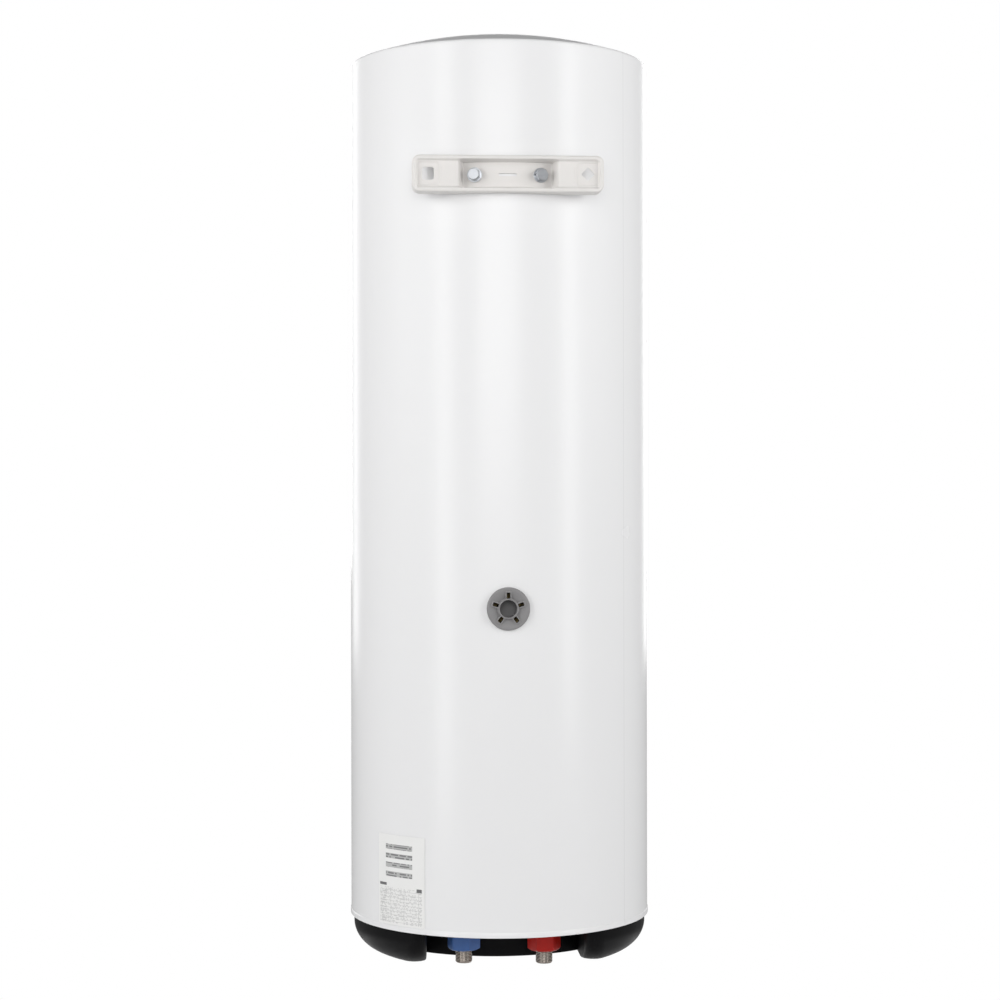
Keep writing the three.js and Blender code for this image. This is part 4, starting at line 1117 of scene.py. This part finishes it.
def collar(name, turn):
    low, high = measure(name)
    corner = COLLAR_FLATS / math.sqrt(3)
    plan = [(corner * math.cos(math.radians(turn + 60 * i)), corner * math.sin(math.radians(turn + 60 * i)))
            for i in range(6)]
    crown = COLLAR_FLATS / 2 - 0.6
    reach = crown + COLLAR_SLOPE * (high.z - low.z)
    cone = turned([(0, low.z), (crown, low.z), (reach, high.z), (0, high.z)], 96)
    body = combined(prism(plan, low.z, high.z), [cone], "INTERSECT")
    body = cut(body, rod(10.8, low.z - 5, high.z + 5, 64))
    spot = (low + high) / 2
    return moved(softened(body, 0.5, 30, 3), spot.x, spot.y)


piece("cold_hex_collar", collar("cold_collar", 45), "cold_plastic", "cold_collar")
piece("hot_hex_collar", collar("hot_collar", 0), "hot_plastic", "hot_collar")

# %% [markdown]
# The underside carries what the user touches: a fluted temperature knob in a round dish, a red
# pilot lens, and a rubber grommet for the supply cord. The knob carries a raised mark and rides on
# its own body, because it turns. Its scale is a ring of dots sunk in the cover, so it stays.

# %% Temperature knob
KNOB_LOBES = 12
knob_top = measure("temperature_knob")[1].z
grip = 15.9
blank = turned([
    (0, 1.0), (grip - 1.6, 1.0), (grip - 0.5, 1.5), *[(grip, 2.4 + i) for i in range(8)],
    (grip + 0.6, knob_top - 4.2),
    (19.5, knob_top - 4), (20, knob_top - 3.4), (20, knob_top - 0.4), (19.6, knob_top),
    (3.3, knob_top), (3.3, 5), (0, 5)], 144)
fluted = grown(waving, blank, "knob_plastic", Count=KNOB_LOBES, Depth=1.2, Beyond=grip - 0.2, Foot=1.6,
               Top=knob_top - 4.6)
mark = softened(moved(prism(rounded_rectangle(2, 8, 0.8), 0.4, 1.4), 0, -11), 0.2)
knob = join(tidied(fluted), mark)
piece("fluted_knob", moved(knob, knob_spot.x, knob_spot.y), "knob_plastic", "temperature_knob", body="knob",
      crease=40)

# %% Lens and grommet
lens_top = measure("pilot_lens")[1].z
lens = turned([(0, 0.9), (2.5, 1.05), (4.4, 1.6), (5, 2.4), (5, 2.9), (6.7, 2.9), (7, 3.2), (7, 4.0),
               (6.7, 4.2),
               (5, 4.2), (5, lens_top), (4, lens_top), (4, 3), (0, 2.1)], 64)
piece("pilot_lens_dome", moved(lens, pilot_spot.x, pilot_spot.y), "lens_red", "pilot_lens")
grommet = turned([(3.6, 0.9), (4.1, 0.3), (5, 0.2), (9.8, 0.2), (10.5, 0.7), (10.6, 1.6), (10.3, 2.4),
                  (7.1, 2.5),
                  (7.1, 6.3), (9.6, 6.4), (9.9, 6.8), (8.5, 9.5), (3.6, 9.5)], 72)
piece("cord_grommet", moved(grommet, grommet_spot.x, grommet_spot.y), "rubber_black", "cable_grommet")

# %% [markdown]
# Screws hold the heater flange from below, with the same hexagon heads as the bracket's, so the
# same tree sets them out, facing down. The bottom cover is held by four pan-head screws deep in
# its wells, which are turned blanks with a cross cut into the head.

# %% Flange screws and cover screws
DOWN = Vector((0, 0, -1))
FLANGE_HEAD = 5.3
flange_nodes = sorted(name for name in frame["nodes"] if name.startswith("flange_bolt_"))
flange_foot, flange_end = (corner.z for corner in measure(flange_nodes[0]))
flange_seat = flange_foot + FLANGE_HEAD
under_flange = spots([(Vector((middle(n).x, middle(n).y, flange_seat)), DOWN) for n in flange_nodes])
flange_screws = grown(hexagons, under_flange, "zinc_steel", Head=FLANGE_HEAD,
                      Length=(flange_end - flange_seat) / 0.98)
piece("flange_screws", tidied(flange_screws), "zinc_steel", *flange_nodes, crease=28)

CROSS_WIDTH, CROSS_LENGTH, CROSS_DEPTH = 1.1, 4.4, 1.3
for i, spot in enumerate(screw_spots):
    foot, end = (corner.z for corner in measure(f"cover_screw_{i + 1}"))
    blank = turned([(0, foot), (2.4, foot), (3.6, foot + 0.5), (4.2, foot + 1.6), (4.2, foot + 2.8),
                    (2.1, foot + 2.8), (2.1, end - 3), (0, end)], 32)
    arms = [prism(rounded_rectangle(*size, 0.2), foot - 1, foot + CROSS_DEPTH)
            for size in ((CROSS_WIDTH, CROSS_LENGTH), (CROSS_LENGTH, CROSS_WIDTH))]
    piece(f"cover_screw_pan_head_{i + 1}", moved(cut(blank, *arms), spot.x, spot.y), "zinc_steel",
          f"cover_screw_{i + 1}")

# %% [markdown]
# Everything that sits inside, such as the tank, the foam, the element and the wiring, keeps its CAD
# shape, which is right already. Each node takes the finish that the record names for it.

# %% Finishes for the parts inside
slot_of = {row["node"]: row["material_slot"] for row in frame["record"]["subparts"]}
for name, part in frame["nodes"].items():
    part.data.materials.clear()
    part.data.materials.append(finishes[slot_of[name]])
kept = [name for name, part in frame["nodes"].items() if not part.hide_render]
print("CAD nodes kept with a new finish:", len(kept))

# %% [markdown]
# The heater hangs, so the floor lies a little below it: a round, plain pale studio floor with a
# painted glow that rises towards its rim, so that it fades into the backdrop. It is only as wide as the soft
# shadow needs, because a wide bright floor would light the black cover from below.

# %% Floor
FLOOR_DROP = 0.35
FLOOR_RADIUS = 1.1
FLOOR_SIDES = 96
FLOOR_GLOW = 0.1
FADE_FROM, FADE_TO = 0.65, 1.08
level = origin.z - FLOOR_DROP
rim = [(origin.x + FLOOR_RADIUS * math.cos(math.tau * i / FLOOR_SIDES),
        origin.y + FLOOR_RADIUS * math.sin(math.tau * i / FLOOR_SIDES), level) for i in range(FLOOR_SIDES)]
floor_mesh = bpy.data.meshes.new("floor")
floor_mesh.from_pydata(rim, [], [tuple(range(FLOOR_SIDES))])
floor_finish = surface("studio floor", (0.62, 0.62, 0.62), 0.8, 4, 0.02, cloud=(400, 0.01),
                       emission_color=(1, 1, 1, 1))
tree = floor_finish.node_tree
place = node(tree, "ShaderNodeTexCoord").outputs["Object"]
flat = node(tree, "ShaderNodeVectorMath", {0: place, 1: (origin.x, origin.y, level)}, operation="SUBTRACT")
reach = node(tree, "ShaderNodeVectorMath", {0: flat.outputs[0]}, operation="LENGTH").outputs["Value"]
# Painted glow: the floor's emission rises from dim in the middle to full white at its rim.
glow = node(tree, "ShaderNodeMapRange", {"Value": reach, "From Min": FADE_FROM, "From Max": FADE_TO,
                                         "To Min": FLOOR_GLOW, "To Max": 1.0}).outputs[0]
tree.links.new(glow, tree.nodes["Principled BSDF"].inputs["Emission Strength"])
floor_mesh.materials.append(floor_finish)
floor = bpy.data.objects.new("floor", floor_mesh)
scene.collection.objects.link(floor)
